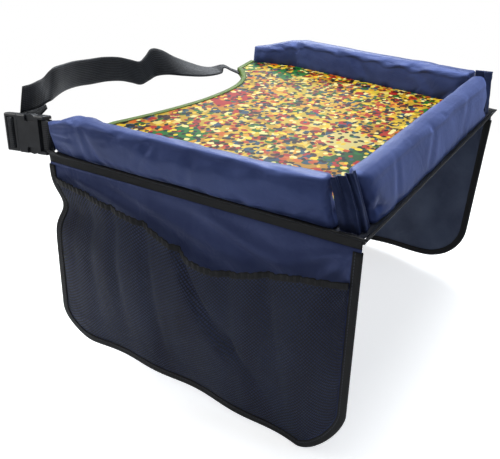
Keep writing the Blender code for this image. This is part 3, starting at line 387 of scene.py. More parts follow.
printLook = {
    "patch": 0.034,
    "grounds": ["#a08318", "#947610", "#a68c2a", "#906608", "#9a8820"],
    "layers": [
        {
            "size": 0.0150,
            "shape": "EUCLIDEAN",
            "scatter": 1.0,
            "share": 0.86,
            "radius": 0.44,
            "turn": 0,
            "stretch": 1.0,
            "shift": 0.0,
            "colours": ["#861408", "#a04c06", "#a88a14", "#8c1c06"]
            + ["#1e4c0a", "#b09c50", "#0e3248", "#3a1408"],
        },
        {
            "size": 0.0100,
            "shape": "MANHATTAN",
            "scatter": 1.0,
            "share": 0.72,
            "radius": 0.42,
            "turn": 35,
            "stretch": 0.6,
            "shift": 0.013,
            "colours": ["#700c06", "#0a0805", "#a8780c", "#1c4a0c"]
            + ["#bcb070", "#0c3048", "#2a1206", "#c09c20"],
        },
        {
            "size": 0.060,
            "shape": "CHEBYCHEV",
            "scatter": 0.6,
            "share": 0.45,
            "radius": 0.36,
            "turn": 24,
            "stretch": 0.72,
            "shift": 0.017,
            "colours": ["#0e5418", "#a89a5c", "#860c08", "#0a3c12", "#0e5418"],
        },
        {
            "size": 0.0120,
            "shape": "EUCLIDEAN",
            "scatter": 1.0,
            "share": 0.46,
            "radius": 0.37,
            "turn": 12,
            "stretch": 1.3,
            "shift": 0.041,
            "colours": ["#b0760c", "#861408", "#c4a828", "#080604"]
            + ["#bcb070", "#0e5418", "#963808", "#3c0e06"],
        },
        {
            "size": 0.0062,
            "shape": "EUCLIDEAN",
            "scatter": 1.0,
            "share": 0.66,
            "radius": 0.38,
            "turn": 0,
            "stretch": 0.8,
            "shift": 0.027,
            "colours": ["#060402", "#c0b470", "#8c1408", "#060402"]
            + ["#0e3c48", "#b89a10", "#0e0804", "#0c0c20"],
        },
    ],
}

navyNylon = nylonMaterial("Navy nylon", nylonLook)
flapNylon = nylonMaterial("Dark navy nylon", flapLook)
coatedBack = nylonMaterial("Coated nylon back", backLook)
liningCloth = nylonMaterial("Black lining", liningLook)
# Its near-black colour is painted corner shade
gussetShadeCloth = nylonMaterial("Gusset nylon with painted corner shade", gussetShadeLook)
bindingTape = tapeMaterial("Black binding tape", bindingLook)
greenTape = tapeMaterial("Green binding tape", greenLook)
elasticTape = tapeMaterial("Black elastic", elasticLook)
blackWebbing = tapeMaterial("Black webbing", webbingLook)
netCloth = netMaterial("Black net", netLook)
blackPlastic = plasticMaterial("Black acetal", plasticLook)
fibreBoard = boardMaterial("Fibre board", boardLook)
printedVinyl = printMaterial("Printed vinyl", printLook)
print("materials made")


# Meshes


def dress(mesh, material):
    mesh.materials.clear()
    mesh.materials.append(material)


def addPiece(name, mesh, material, body, replaced=()):
    piece = bpy.data.objects.new(name, mesh)
    scene.collection.objects.link(piece)
    dress(mesh, material)
    mesh.shade_smooth()
    if body:
        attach(piece, body)
    if replaced:
        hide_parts(*replaced)
    return piece


# A grid of points, its faces and a UV in metres along the rows and across them
def gridMesh(name, rows, closed=False):
    count = len(rows[0])
    points = [tuple(p) for row in rows for p in row]
    faces = []
    for r in range(len(rows) - 1):
        for c in range(count if closed else count - 1):
            n = (c + 1) % count
            faces.append((r * count + c, r * count + n, (r + 1) * count + n, (r + 1) * count + c))
    mesh = bpy.data.meshes.new(name)
    mesh.from_pydata(points, [], faces)
    grid = np.array(points).reshape(len(rows), count, 3)
    along = np.linalg.norm(np.diff(grid, axis=1), axis=2).mean(0)
    across = np.linalg.norm(np.diff(grid, axis=0), axis=2).mean(1)
    u = np.concatenate([[0.0], np.cumsum(along)])
    v = np.concatenate([[0.0], np.cumsum(across)])
    layer = mesh.uv_layers.new(name="UVMap")
    for loop in mesh.loops:
        r, c = divmod(loop.vertex_index, count)
        layer.data[loop.index].uv = (u[c], v[r])
    mesh.update()
    return mesh


def thicken(piece, thickness, offset=0.0, back=None):
    shell = piece.modifiers.new("Thickness", "SOLIDIFY")
    if back:
        piece.data.materials.append(back)
        shell.material_offset = 1
    shell.thickness = thickness
    shell.offset = offset
    shell.use_even_offset = True
    return piece


# Catmull-Rom points through rows of numbers
def curveThrough(controls, steps):
    rows = [np.array(c, float) for c in controls]
    rows = [2 * rows[0] - rows[1], *rows, 2 * rows[-1] - rows[-2]]
    made = []
    for i in range(1, len(rows) - 2):
        a, b, c, d = rows[i - 1 : i + 3]
        for k in range(steps):
            t = k / steps
            square = (2 * a - 5 * b + 4 * c - d) * t**2
            cube = (3 * b - a - 3 * c + d) * t**3
            made.append((2 * b + (c - a) * t + square + cube) / 2)
    made.append(rows[-2])
    return made


def ramp(value, low, high):
    t = min(1.0, max(0.0, (value - low) / (high - low)))
    return t * t * (3 - 2 * t)


def bell(value, place, spread):
    return math.exp(-(((value - place) / spread) ** 2))


# Base


def sideDirection(side):
    return Vector((side * base["flare"], base["depth"])).normalized()


def outward(side, along):
    return Vector((along.y, -along.x)) * side


def sideFoot(side, run):
    x = side * (base["width"] / 2 + base["flare"] * run / base["depth"])
    return Vector((x, run - base["depth"] / 2))


def wingDirection(side):
    turn = math.radians(wings[side]["toe"]) * side
    return sideDirection(side) @ Matrix.Rotation(-turn, 2)


def wingEnd(side):
    return sideFoot(side, wings[side]["crease"]) + wingDirection(side) * wings[side]["length"]


def waistPoint(offset):
    rise, power = horns[near if offset < 0 else far]
    share = abs(offset) / base["waistHalf"]
    return Vector((offset, base["depth"] / 2 + rise * share**power))


# Padded walls, swollen from their foam by a cloth simulation

padding = {
    "voxel": 0.0040,
    "pressure": 4.0,
    "slack": -0.02,
    "cap": 0.0026,
    "frames": 20,
    "foot": 0.0013,
    "smooth": 0.35,
    "shoulder": 0.0016,
    "ripple": 0.0011,
    "rippleLength": 0.040,
}


def swell(piece, look):
    mesh = piece.data
    rest = np.array([v.co for v in mesh.vertices])
    pins = piece.vertex_groups.new(name="Seam")
    low = [v.index for v in mesh.vertices if v.co.z < look["foot"] + 0.002]
    pins.add(low, 1.0, "REPLACE")
    cloth = piece.modifiers.new("Cloth", "CLOTH")
    settings = cloth.settings
    settings.quality = 6
    settings.mass = 0.3
    settings.tension_stiffness = 30
    settings.compression_stiffness = 20
    settings.bending_stiffness = 0.6
    settings.use_pressure = True
    settings.uniform_pressure_force = look["pressure"]
    settings.shrink_min = look["slack"]
    settings.effector_weights.gravity = 0
    settings.vertex_group_mass = "Seam"
    cloth.point_cache.frame_start = 1
    cloth.point_cache.frame_end = look["frames"]
    for number in range(1, look["frames"] + 1):
        scene.frame_set(number)
    graph = bpy.context.evaluated_depsgraph_get()
    settled = piece.evaluated_get(graph).to_mesh()
    moved = np.array([v.co for v in settled.vertices])
    piece.evaluated_get(graph).to_mesh_clear()
    piece.modifiers.remove(cloth)
    scene.frame_set(1)
    step = moved - rest
    size = np.linalg.norm(step, axis=1, keepdims=True)
    step = step * np.minimum(1.0, look["cap"] / np.maximum(size, 1e-9))
    for vertex, place in zip(mesh.vertices, rest + step):
        vertex.co = place


# Creases are (start, end, width, depth): a soft groove between two points, with a ridge beside it
def pressCreases(mesh, creases):
    normals = [v.normal.copy() for v in mesh.vertices]
    for vertex, normal in zip(mesh.vertices, normals):
        shift = 0.0
        for start, end, width, depth in creases:
            a, b = Vector(start), Vector(end)
            line = b - a
            place = (vertex.co - a).dot(line) / line.length_squared
            if not -0.25 < place < 1.25:
                continue
            aside = (vertex.co - a - line * place).length
            if aside > 4 * width:
                continue
            fade = ramp(place, -0.25, 0.2) * (1 - ramp(place, 0.8, 1.25))
            shift -= depth * fade * (bell(aside, 0, width) - 0.45 * bell(aside, 1.9 * width, width))
        vertex.co += normal * shift


# Pushes the rounded shoulders of a wall's top out, so that the top reads as a flat band
def squareShoulders(mesh, reach):
    normals = [v.normal.copy() for v in mesh.vertices]
    for vertex, normal in zip(mesh.vertices, normals):
        if normal.z > 0 and vertex.co.z > 0.018:
            vertex.co += normal * reach * max(0.0, 1 - ((normal.z - 0.70) / 0.36) ** 2)


def ripple(mesh, height, length, seed):
    normals = [v.normal.copy() for v in mesh.vertices]
    for vertex, normal in zip(mesh.vertices, normals):
        spot = vertex.co / length + Vector((seed, seed * 1.7, 0.0))
        vertex.co += normal * height * noise.noise(spot)


def makeWall(label, creases):
    source = nodes[label + "_wall_foam"]
    piece = addPiece(label + "_wall", source.data.copy(), navyNylon, None)
    piece.data.remesh_voxel_size = padding["voxel"]
    bpy.context.view_layer.objects.active = piece
    piece.select_set(True)
    bpy.ops.object.voxel_remesh()
    piece.select_set(False)
    swell(piece, padding)
    smoother = bmesh.new()
    smoother.from_mesh(piece.data)
    every = {"use_axis_x": True, "use_axis_y": True, "use_axis_z": True}
    for _ in range(2):
        bmesh.ops.smooth_vert(smoother, verts=smoother.verts, factor=padding["smooth"], **every)
    bmesh.ops.subdivide_edges(smoother, edges=smoother.edges, cuts=1, use_grid_fill=True, smooth=1.0)
    smoother.to_mesh(piece.data)
    smoother.free()
    dress(piece.data, navyNylon)
    squareShoulders(piece.data, padding["shoulder"])
    pressCreases(piece.data, creases)
    ripple(piece.data, padding["ripple"], padding["rippleLength"], 3.0)
    for vertex in piece.data.vertices:
        vertex.co.z = max(vertex.co.z, padding["foot"])
    piece.data.shade_smooth()
    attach(piece, "tray")
    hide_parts(label + "_wall_cover", label + "_wall_foam")
    return piece


def nearOuter(run, z):
    out = outward(near, sideDirection(near)) * wall["lean"] * z / wall["height"]
    return (*(sideFoot(near, run) + out), z)


wallCreases = {
    "near": [
        (nearOuter(0.225, 0.012), nearOuter(0.205, 0.042), 0.0035, 0.0012),
        (nearOuter(0.172, 0.010), nearOuter(0.160, 0.036), 0.0045, 0.0010),
        (nearOuter(0.262, 0.030), nearOuter(0.236, 0.046), 0.0035, 0.0010),
        (nearOuter(0.120, 0.008), nearOuter(0.090, 0.030), 0.0060, 0.0010),
        (nearOuter(0.335, 0.030), nearOuter(0.300, 0.038), 0.0022, 0.0012),
        (nearOuter(0.338, 0.022), nearOuter(0.305, 0.026), 0.0022, 0.0010),
    ],
    "far": [
        ((0.205, 0.02, 0.012), (0.206, 0.05, 0.040), 0.006, 0.0010),
        ((0.195, -0.08, 0.012), (0.197, -0.05, 0.040), 0.006, 0.0010),
    ],
    "front": [
        ((-0.05, -0.157, 0.010), (-0.02, -0.150, 0.040), 0.006, 0.0011),
        ((0.06, -0.157, 0.008), (0.10, -0.150, 0.040), 0.007, 0.0010),
        ((-0.13, -0.157, 0.012), (-0.12, -0.150, 0.042), 0.005, 0.0009),
    ],
}
for label, creases in wallCreases.items():
    makeWall(label, creases)
print("walls made")


# Corner gussets: pleated cloth between the wall ends

gussets = {
    near: {"draw": 0.85, "spread": 0.0, "rake": -0.006, "tuck": 0.7},
    far: {"draw": 0.05, "spread": 0.009, "rake": 0.022, "tuck": -0.5},
}
gussetSize = {
    "height": 0.0500,
    "foot": 0.0013,
    "thickness": 0.0007,
    "standoff": 0.0016,
    "inset": 0.0245,
    "thinning": 0.66,
    "sideRake": 0.010,
    "frontLean": -0.017,
    "tuck": 0.7,
    "pleat": 0.0017,
    "pleats": 3.0,
    "columns": 72,
    "rows": 26,
}


def endCorner(centre, along, out, thickness, lean, rake, sign, z, tuckShare):
    tuck = thickness / 2 * tuckShare
    spot = centre + along * (sign * gussetSize["standoff"] + rake * z / wall["height"])
    return spot + out * (tuck + lean * z / wall["height"])


def makeGusset(label, side):
    look = gussets[side]
    along = sideDirection(side)
    out = outward(side, along)
    thin, inset = wall["thickness"] * gussetSize["thinning"], gussetSize["inset"]
    sideCentre = sideFoot(side, inset) - out * wall["thickness"] / 2
    frontX = side * (base["width"] / 2 - inset)
    frontCentre = Vector((frontX, -base["depth"] / 2 + wall["thickness"] / 2))
    right, front = Vector((1, 0)), Vector((0, -1))
    sideRake, frontLean = gussetSize["sideRake"], gussetSize["frontLean"]
    foot = Vector((side * base["width"] / 2, -base["depth"] / 2))
    height = gussetSize["height"]
    rows = []
    for r in range(gussetSize["rows"]):
        z = gussetSize["foot"] + (height - gussetSize["foot"]) * r / (gussetSize["rows"] - 1)
        start = endCorner(sideCentre, along, out, thin, wall["lean"], sideRake, -1, z, look["tuck"])
        rake, tuck = look["rake"], gussetSize["tuck"]
        finish = endCorner(frontCentre, right, front, thin, frontLean, rake, side, z, tuck)
        middle = (start + finish) / 2
        corner = foot + Vector((side * look["spread"] * z / height, 0))
        normal = (corner - middle).normalized()
        control = middle + (corner - middle) * (1 - look["draw"] * z / height)
        row = []
        for c in range(gussetSize["columns"]):
            t = c / (gussetSize["columns"] - 1)
            spot = start * (1 - t) ** 2 + control * 2 * t * (1 - t) + finish * t**2
            edge = math.sin(math.pi * t)
            wave = gussetSize["pleat"] * math.sin(2 * math.pi * gussetSize["pleats"] * t) * edge
            wave += 0.0005 * math.sin(2 * math.pi * 9 * t + z / height * 2.5) * edge * z / height
            lean = 0.0006 * noise.noise(Vector((t * 9, z * 160, side)))
            spot = spot + normal * (wave + lean * edge)
            row.append(Vector((spot.x, spot.y, z)))
        rows.append(row)
    name = label + "_gusset"
    mesh = gridMesh(name, rows)
    piece = addPiece(name, mesh, gussetShadeCloth, "tray", [label + "_corner_gusset"])
    thicken(piece, gussetSize["thickness"])
    return piece


makeGusset("near", near)
makeGusset("far", far)


# Base: lining, green edge tape and printed top


# The flat face of a node, cut into a grid so that it can be shaped
def faceGrid(node, height, spacing):
    shape = bmesh.new()
    shape.from_mesh(nodes[node].data)
    drop = [f for f in shape.faces if abs(f.calc_center_median().z - height) > 0.0002]
    bmesh.ops.delete(shape, geom=drop, context="FACES")
    bmesh.ops.remove_doubles(shape, verts=shape.verts[:], dist=0.00001)
    bmesh.ops.dissolve_faces(shape, faces=shape.faces[:])
    low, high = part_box(node)
    for axis in (0, 1):
        count = int((high[axis] - low[axis]) / spacing)
        for k in range(1, count + 1):
            spot, normal = Vector((0, 0, 0)), Vector((0, 0, 0))
            spot[axis] = low[axis] + spacing * k
            normal[axis] = 1.0
            geometry = [*shape.verts, *shape.edges, *shape.faces]
            bmesh.ops.bisect_plane(shape, geom=geometry, plane_co=spot, plane_no=normal)
    mesh = bpy.data.meshes.new(node + "_grid")
    shape.to_mesh(mesh)
    shape.free()
    return mesh


liningFit = {
    "spacing": 0.010,
    "lift": 0.0005,
    "wave": 0.0003,
    "waveLength": 0.05,
    "corner": 0.014,
    "drawIn": 0.004,
    "aside": 0.6,
    "thickness": 0.0006,
}
liningMesh = faceGrid("base_lining", 0.0, liningFit["spacing"])
for vertex in liningMesh.vertices:
    spot = vertex.co / liningFit["waveLength"]
    vertex.co.z = liningFit["lift"] + liningFit["wave"] * noise.noise(Vector((spot.x, spot.y, 5.0)))
    # The wings' soft ends are rounded, so the lining's corners draw in under them
    for side in (near, far):
        away = (vertex.co.xy - wingEnd(side)).length
        if away < liningFit["corner"]:
            pull = wingDirection(side) + liningFit["aside"] * outward(side, wingDirection(side))
            vertex.co.xy -= pull * liningFit["drawIn"] * (1 - away / liningFit["corner"])
lining = addPiece("lining", liningMesh, liningCloth, "tray", ["base_lining"])
thicken(lining, liningFit["thickness"])

dress(nodes["play_surface"].data, printedVinyl)
dress(nodes["base_board"].data, fibreBoard)

waistTape = {
    "leg": 0.0062,
    "reach": 0.0007,
    "low": 0.0006,
    "high": 0.0095,
    "thickness": 0.0008,
    "round": 0.0012,
    "lip": 0.0003,
    "wave": 0.0004,
    "shorter": 0.8,
    "points": 120,
    "hornPoints": 26,
    "hornEnds": {near: (-0.2105, 0.1869), far: (0.1962, 0.2248)},
}


# From wall to wall: along one horn, round the waist curve and along the other horn
def makeWaistTape():
    count, horn = waistTape["points"], waistTape["hornPoints"]
    ends = {side: Vector(waistTape["hornEnds"][side]) for side in (near, far)}
    tips = {side: waistPoint(side * base["waistHalf"]) for side in (near, far)}
    first = [ends[near].lerp(tips[near], k / horn) for k in range(horn)]
    middle = [waistPoint(base["waistHalf"] * (2 * i / (count - 1) - 1)) for i in range(count)]
    last = [tips[far].lerp(ends[far], (k + 1) / horn) for k in range(horn)]
    line = first + middle + last
    leg, reach = waistTape["leg"], waistTape["reach"]
    low, high = waistTape["low"], waistTape["high"]
    middleHeight = (low + high) / 2
    section = [
        (-leg, low),
        (-leg * 0.5, low),
        (reach * 0.4, low),
        (reach, low + waistTape["round"]),
        (reach, middleHeight),
        (reach, high - waistTape["round"]),
        (reach * 0.4, high),
        (-leg * 0.5, high),
        (-leg, high - waistTape["lip"]),
    ]
    columns = []
    for i, spot in enumerate(line):
        ahead = (line[min(i + 2, len(line) - 1)] - line[max(i - 2, 0)]).normalized()
        normal = Vector((-ahead.y, ahead.x))
        wave = waistTape["wave"] * noise.noise(Vector((spot.x * 90, 0.0, 1.0)))
        # The lining comes closer to the edge towards the walls, so the lower leg gets shorter there
        beyond = max(0, horn - i, i - (horn + count - 1)) / horn
        column = []
        for across, up in section:
            if up < middleHeight and across < 0:
                across *= 1 - waistTape["shorter"] * beyond
            place = spot + normal * (across + (wave if across < 0 else 0.0))
            column.append(Vector((place.x, place.y, up)))
        columns.append(column)
    rows = [[column[k] for column in columns] for k in range(len(section))]
    mesh = gridMesh("waist_tape", rows)
    piece = addPiece("waist_tape", mesh, greenTape, "tray", ["waist_binding"])
    return thicken(piece, waistTape["thickness"])


makeWaistTape()
print("base made")


# Hanging flaps

flaps = {
    near: {
        "label": "near",
        "body": "near_flap",
        "length": 0.344,
        "drop": 0.212,
        "sag": 0.028,
        "set": 0.0185,
        "pinch": 0.011,
        "front": (0.045, 0.068, 1.45),
        "back": (0.048, 0.036, 2.0),
        "creases": [
            ((0.325, 0.004), (0.235, 0.030), 0.006, 0.0016),
            ((0.260, 0.004), (0.130, 0.040), 0.007, 0.0018),
            ((0.160, 0.006), (0.040, 0.044), 0.007, 0.0018),
            ((0.010, 0.006), (0.034, 0.040), 0.0035, 0.0016),
            ((0.006, 0.010), (0.014, 0.050), 0.0035, 0.0014),
            ((0.012, 0.004), (0.060, 0.028), 0.004, 0.0014),
        ],
        "netFolds": [
            (0.172, 0.062, 0.009, 0.0112),
            (0.080, 0.058, 0.007, 0.0082),
            (0.118, 0.112, 0.007, 0.0062),
            (0.046, 0.040, 0.005, 0.0035),
            (0.214, 0.196, 0.008, 0.0072),
            (0.252, 0.244, 0.007, 0.0060),
            (0.290, 0.282, 0.007, 0.0042),
            (0.316, 0.312, 0.006, 0.0026),
        ],
    },
    far: {
        "label": "far",
        "body": "far_flap",
        "length": 0.310,
        "drop": 0.228,
        "sag": -0.024,
        "set": -0.030,
        "pinch": 0.0,
        "front": (0.048, 0.048, 2.0),
        "back": (0.048, 0.048, 2.0),
        "creases": [
            ((0.290, 0.004), (0.220, 0.030), 0.006, 0.0014),
            ((0.150, 0.004), (0.060, 0.036), 0.007, 0.0016),
        ],
        "netFolds": [
            (0.080, 0.072, 0.009, 0.0048),
            (0.140, 0.128, 0.010, 0.0054),
            (0.200, 0.205, 0.009, 0.0045),
            (0.250, 0.255, 0.008, 0.0042),
        ],
    },
}
flapCloth = {
    "dropUnit": 0.212,
    "head": -0.0011,
    "hingeDrop": 0.0090,
    "hingeOut": 0.0004,
    "tuck": 0.0009,
    "wave": 0.0006,
    "edge": 0.012,
    "pinchDepth": 0.047,
    "pinchHeight": 0.019,
    "pinchReach": 0.075,
    "spread": 0.012,
    "thickness": 0.0010,
    "fold": 0.0017,
    "folds": 3.5,
    "phase": 0.6,
    "fade": 0.048,
    "columns": 130,
    "rows": 72,
}
binding = {"leg": 0.0070, "thickness": 0.0008, "start": 0.0020}
netSize = {
    "thickness": 0.0004,
    "gap": 0.0006,
    "bulge": 0.018,
    "fold": 0.0022,
    "folds": 3.0,
    "mouthShare": 0.72,
    "sidePower": 0.55,
    "belly": 0.8,
    "close": 0.8,
    "dip": 0.027,
    "top": 0.020,
    "frontTop": 0.037,
    "dipPlace": 0.40,
    "dipWidth": 0.20,
}
elastic = {"height": 0.0062, "thickness": 0.0013, "gather": 0.0007, "ruffles": 0.0062}


def edgeDepth(run, flap):
    length = flap["length"]
    deep = flap["drop"] + flap["sag"] * (1 - run / length) ** 2.5
    width, rise, power = flap["front"] if run < length / 2 else flap["back"]
    share = min(1.0, max(0.0, 1 - min(run, length - run) / width))
    return deep - rise * (1 - (1 - share**power) ** (1 / power))


def flapDrop(run, flap, inset=0.0):
    if not inset:
        return edgeDepth(run, flap)
    depths = []
    for k in range(-8, 9):
        aside = inset * k / 8
        spot = min(flap["length"], max(0.0, run + aside))
        depths.append(edgeDepth(spot, flap) - math.sqrt(inset**2 - aside**2))
    return min(depths)


def creaseShift(run, depth, creases):
    shift = 0.0
    for start, end, width, height in creases:
        a, b = Vector(start), Vector(end)
        spot, line = Vector((run, depth)), b - a
        place = (spot - a).dot(line) / line.length_squared
        if not -0.3 < place < 1.4:
            continue
        aside = (spot - a - line * place).length
        grown = width * (0.6 + 0.6 * max(0.0, place))
        fade = ramp(place, -0.3, 0.15) * (1 - ramp(place, 0.8, 1.4))
        shift += height * fade * (bell(aside, 0, grown) - 0.4 * bell(aside, 2 * grown, grown))
    return shift


def flapPoint(run, depth, flap, lift=0.0):
    length = flap["length"]
    down = depth / flapCloth["dropUnit"]
    turn = 2 * math.pi * flapCloth["folds"] * run / length + flapCloth["phase"]
    share = min(1.0, min(run, length - run) / flapCloth["fade"])
    out = flap["set"] * down + flapCloth["fold"] * math.sin(turn) * down**2 * share**2 * (3 - 2 * share)
    pinch = bell(depth, flapCloth["pinchDepth"], flapCloth["pinchHeight"])
    pinch *= bell(length - run, 0.0, flapCloth["pinchReach"])
    out -= 0.35 * flap["pinch"] * pinch
    side = run - flapCloth["spread"] * (1 - run / length) * down - flap["pinch"] * pinch
    tucked = flapCloth["tuck"] * (1 - ramp(depth, flapCloth["head"], 0.0020))
    return Vector((out + lift - tucked, side, -depth))


def netMouth(run, flap):
    share = run / flap["length"]
    slope = netSize["frontTop"] + (netSize["top"] - netSize["frontTop"]) * share
    return slope + netSize["dip"] * bell(share, netSize["dipPlace"], netSize["dipWidth"])


def netBulge(run, depth, flap):
    inset = binding["leg"] + netSize["gap"]
    length = flap["length"]
    low, top = flapDrop(run, flap, inset), netMouth(run, flap)
    down = min(1.0, max(0.0, (depth - top) / (low - top)))
    side = min(1.0, max(0.0, (run - inset) / (length - 2 * inset)))
    across = math.sin(math.pi * side) ** netSize["sidePower"] if 0 < side < 1 else 0.0
    belly = math.sin(math.pi * min(1.0, down / netSize["belly"]))
    fall = netSize["mouthShare"] + (1 - netSize["mouthShare"]) * belly
    close = (1 - down**3) ** netSize["close"] if down < 1 else 0.0
    folds = netSize["fold"] * (1 + math.sin(2 * math.pi * netSize["folds"] * side)) * across
    made = (netSize["bulge"] * fall * across + folds) * close
    for atMouth, atFoot, width, deep in flap["netFolds"]:
        place = atMouth + (atFoot - atMouth) * down
        grown = width * (0.75 + 0.5 * down)
        made -= deep * bell(run, place, grown) * across * close * (0.55 + 0.45 * math.sin(math.pi * down))
    return max(0.0, made)


def netLift(run, depth, flap):
    return flapCloth["thickness"] / 2 + gap + netSize["thickness"] + netBulge(run, depth, flap)


def flapFrame(side):
    along = sideDirection(side)
    away = outward(side, along)
    spot = sideFoot(side, 0.001) + away * flapCloth["hingeOut"]
    turn = Matrix(((away.x, along.x, 0), (away.y, along.y, 0), (0, 0, 1))).to_4x4()
    return Matrix.Translation((spot.x, spot.y, -flapCloth["hingeDrop"])) @ turn


def edgeRuns(flap, count, inset=0.0):
    ends = count // 4
    length, front, back = flap["length"], flap["front"][0], flap["back"][0]
    turns = [math.cos(math.pi / 2 * k / ends) for k in range(ends)]
    steps = count - 2 * ends
    middle = [front + (length - front - back) * k / (steps - 1) for k in range(steps)]
    first = [front - (front - inset) * t for t in turns]
    last = [length - back + (back - inset) * t for t in turns[::-1]]
    return first + middle + last


# A piece from rows of points in the frame of one flap, named after its side
def flapPiece(side, kind, rows, material, replaced):
    flap, turned = flaps[side], flapFrame(side)
    name = flap["label"] + "_" + kind
    mesh = gridMesh(name, [[turned @ p for p in row] for row in rows])
    return addPiece(name, mesh, material, flap["body"], [flap["label"] + "_" + replaced])


def makePanel(side):
    flap, head = flaps[side], flapCloth["head"]
    rows = []
    for r in range(flapCloth["rows"]):
        row = []
        for run in edgeRuns(flap, flapCloth["columns"]):
            depth = head + (flapDrop(run, flap) - head) * r / (flapCloth["rows"] - 1)
            edge = min(1.0, min(run, flap["length"] - run) / flapCloth["edge"])
            lift = creaseShift(run, depth, flap["creases"]) * edge * ramp(depth, 0.0005, 0.012)
            wave = flapCloth["wave"] * noise.noise(Vector((run * 30, depth * 40, side)))
            lift += wave * edge * ramp(depth, 0, 0.02)
            row.append(flapPoint(run, depth, flap, lift))
        rows.append(row)
    # The grid's own side faces away from the tray on the near flap and towards it on the far one
    own, other = (flapNylon, coatedBack) if side == near else (coatedBack, flapNylon)
    piece = flapPiece(side, "panel", rows, own, "flap_panel")
    thicken(piece, flapCloth["thickness"], back=other)
    return piece


def edgeLine(flap):
    length = flap["length"]
    start = binding["start"]
    rows = 40
    first, last = flapDrop(0.0, flap), flapDrop(length, flap)
    down = [(0.0, start + (first - start) * k / rows) for k in range(rows)]
    under = [(run, flapDrop(run, flap)) for run in edgeRuns(flap, flapCloth["columns"])]
    up = [(length, start + (last - start) * k / rows) for k in range(rows)]
    return down + under + up[::-1]


def makeBinding(side):
    flap = flaps[side]
    line = edgeLine(flap)
    middle = Vector((flap["length"] / 2, flap["drop"] / 2))
    reach = flapCloth["thickness"] / 2 + gap + binding["thickness"] / 2
    leg = binding["leg"]
    section = [
        (-leg, reach * 0.97),
        (-leg * 0.55, reach),
        (-leg * 0.12, reach),
        (reach * 0.65, reach * 0.72),
        (reach, 0.0),
        (reach * 0.65, -reach * 0.72),
        (-leg * 0.12, -reach),
        (-leg * 0.55, -reach),
        (-leg, -reach * 0.97),
    ]
    columns = []
    for i, spot in enumerate(line):
        before, after = Vector(line[max(i - 1, 0)]), Vector(line[min(i + 1, len(line) - 1)])
        run, depth = (after - before).normalized()
        inward = Vector((-depth, run))
        inward = inward if inward.dot(middle - Vector(spot)) > 0 else -inward
        edge = flapPoint(*spot, flap)
        inner = flapPoint(*(Vector(spot) + inward * leg), flap)
        ahead = flapPoint(*after, flap) - flapPoint(*before, flap)
        across = (edge - inner).normalized()
        up = ahead.cross(across).normalized()
        up = up if up.x > 0 else -up
        wave = 0.00035 * noise.noise(Vector((i * 0.35, side, 0.0)))
        columns.append([edge + across * (a + (wave if a < -0.004 else 0.0)) + up * b for a, b in section])
    rows = [[column[k] for column in columns] for k in range(len(section))]
    piece = flapPiece(side, "binding", rows, bindingTape, "flap_binding")
    return thicken(piece, binding["thickness"])


def makeNet(side):
    flap = flaps[side]
    inset = binding["leg"] + netSize["gap"]
    rows = []
    for r in range(flapCloth["rows"]):
        row = []
        for run in edgeRuns(flap, flapCloth["columns"], inset):
            top, low = netMouth(run, flap), flapDrop(run, flap, inset)
            depth = top + (low - top) * r / (flapCloth["rows"] - 1)
            row.append(flapPoint(run, depth, flap, netLift(run, depth, flap)))
        rows.append(row)
    piece = flapPiece(side, "net", rows, netCloth, "net_pocket")
    return piece


def makeElastic(side):
    flap = flaps[side]
    inset = binding["leg"] + netSize["gap"]
    runs = np.linspace(inset, flap["length"] - inset, 420)
    lift = (elastic["thickness"] - netSize["thickness"]) / 2 + 0.0002
    rows = []
    for share in np.linspace(0.0, 1.0, 7):
        row = []
        for run in runs:
            mouth = netMouth(run, flap)
            turn = 2 * math.pi * run / elastic["ruffles"] + 1.3 * noise.noise(Vector((run * 60, 0.0, 0.0)))
            edge = min(1.0, min(run - inset, flap["length"] - inset - run) / 0.02)
            ruffle = elastic["gather"] * math.sin(turn) * edge * (0.4 + 0.6 * share)
            top = 0.0005 * math.sin(turn * 0.5 + 1.0) * edge
            depth = mouth - gap - (elastic["height"] + top) * share
            row.append(flapPoint(run, depth, flap, netLift(run, mouth, flap) + lift + ruffle))
        rows.append(row)
    piece = flapPiece(side, "elastic", rows, elasticTape, "pocket_elastic")
    return thicken(piece, elastic["thickness"])


tapes = {
    "thickness": 0.0016,
    "drop": 0.0080,
    "frontDrop": 0.0030,
    "proud": 0.0004,
    "lap": 0.0034,
    "bead": 0.0026,
    "start": 0.0003,
    "endRise": 0.0022,
    "wave": 0.00025,
    "frontWave": 0.0002,
    "points": 120,
}


def makeSideTape(side):
    flap = flaps[side]
    turned, hinge = flapFrame(side), flapCloth["hingeDrop"]
    rows = []
    for share in np.linspace(0.0, 1.0, 9):
        z = hinge + tapes["lap"] - (tapes["drop"] + gap + tapes["lap"]) * share
        lapped = max(0.0, z - hinge) / tapes["lap"]
        bead = (tapes["thickness"] * 0.5 + tapes["bead"]) * lapped
        start = tapes["start"] - bead
        row = []
        for k in range(tapes["points"]):
            run = start + (flap["length"] - start) * k / (tapes["points"] - 1)
            out = bead + tapes["wave"] * noise.noise(Vector((run * 50, share * 2, side)))
            rise = tapes["endRise"] * lapped * ramp(run, flap["length"] - 0.022, flap["length"] - 0.006)
            row.append(turned @ Vector((out - tapes["thickness"] / 2, run, z + rise)))
        rows.append(row)
    name = flap["label"] + "_tape"
    mesh = gridMesh(name, rows)
    piece = addPiece(name, mesh, bindingTape, "tray", [flap["label"] + "_seam_tape"])
    return thicken(piece, tapes["thickness"] * 0.9)


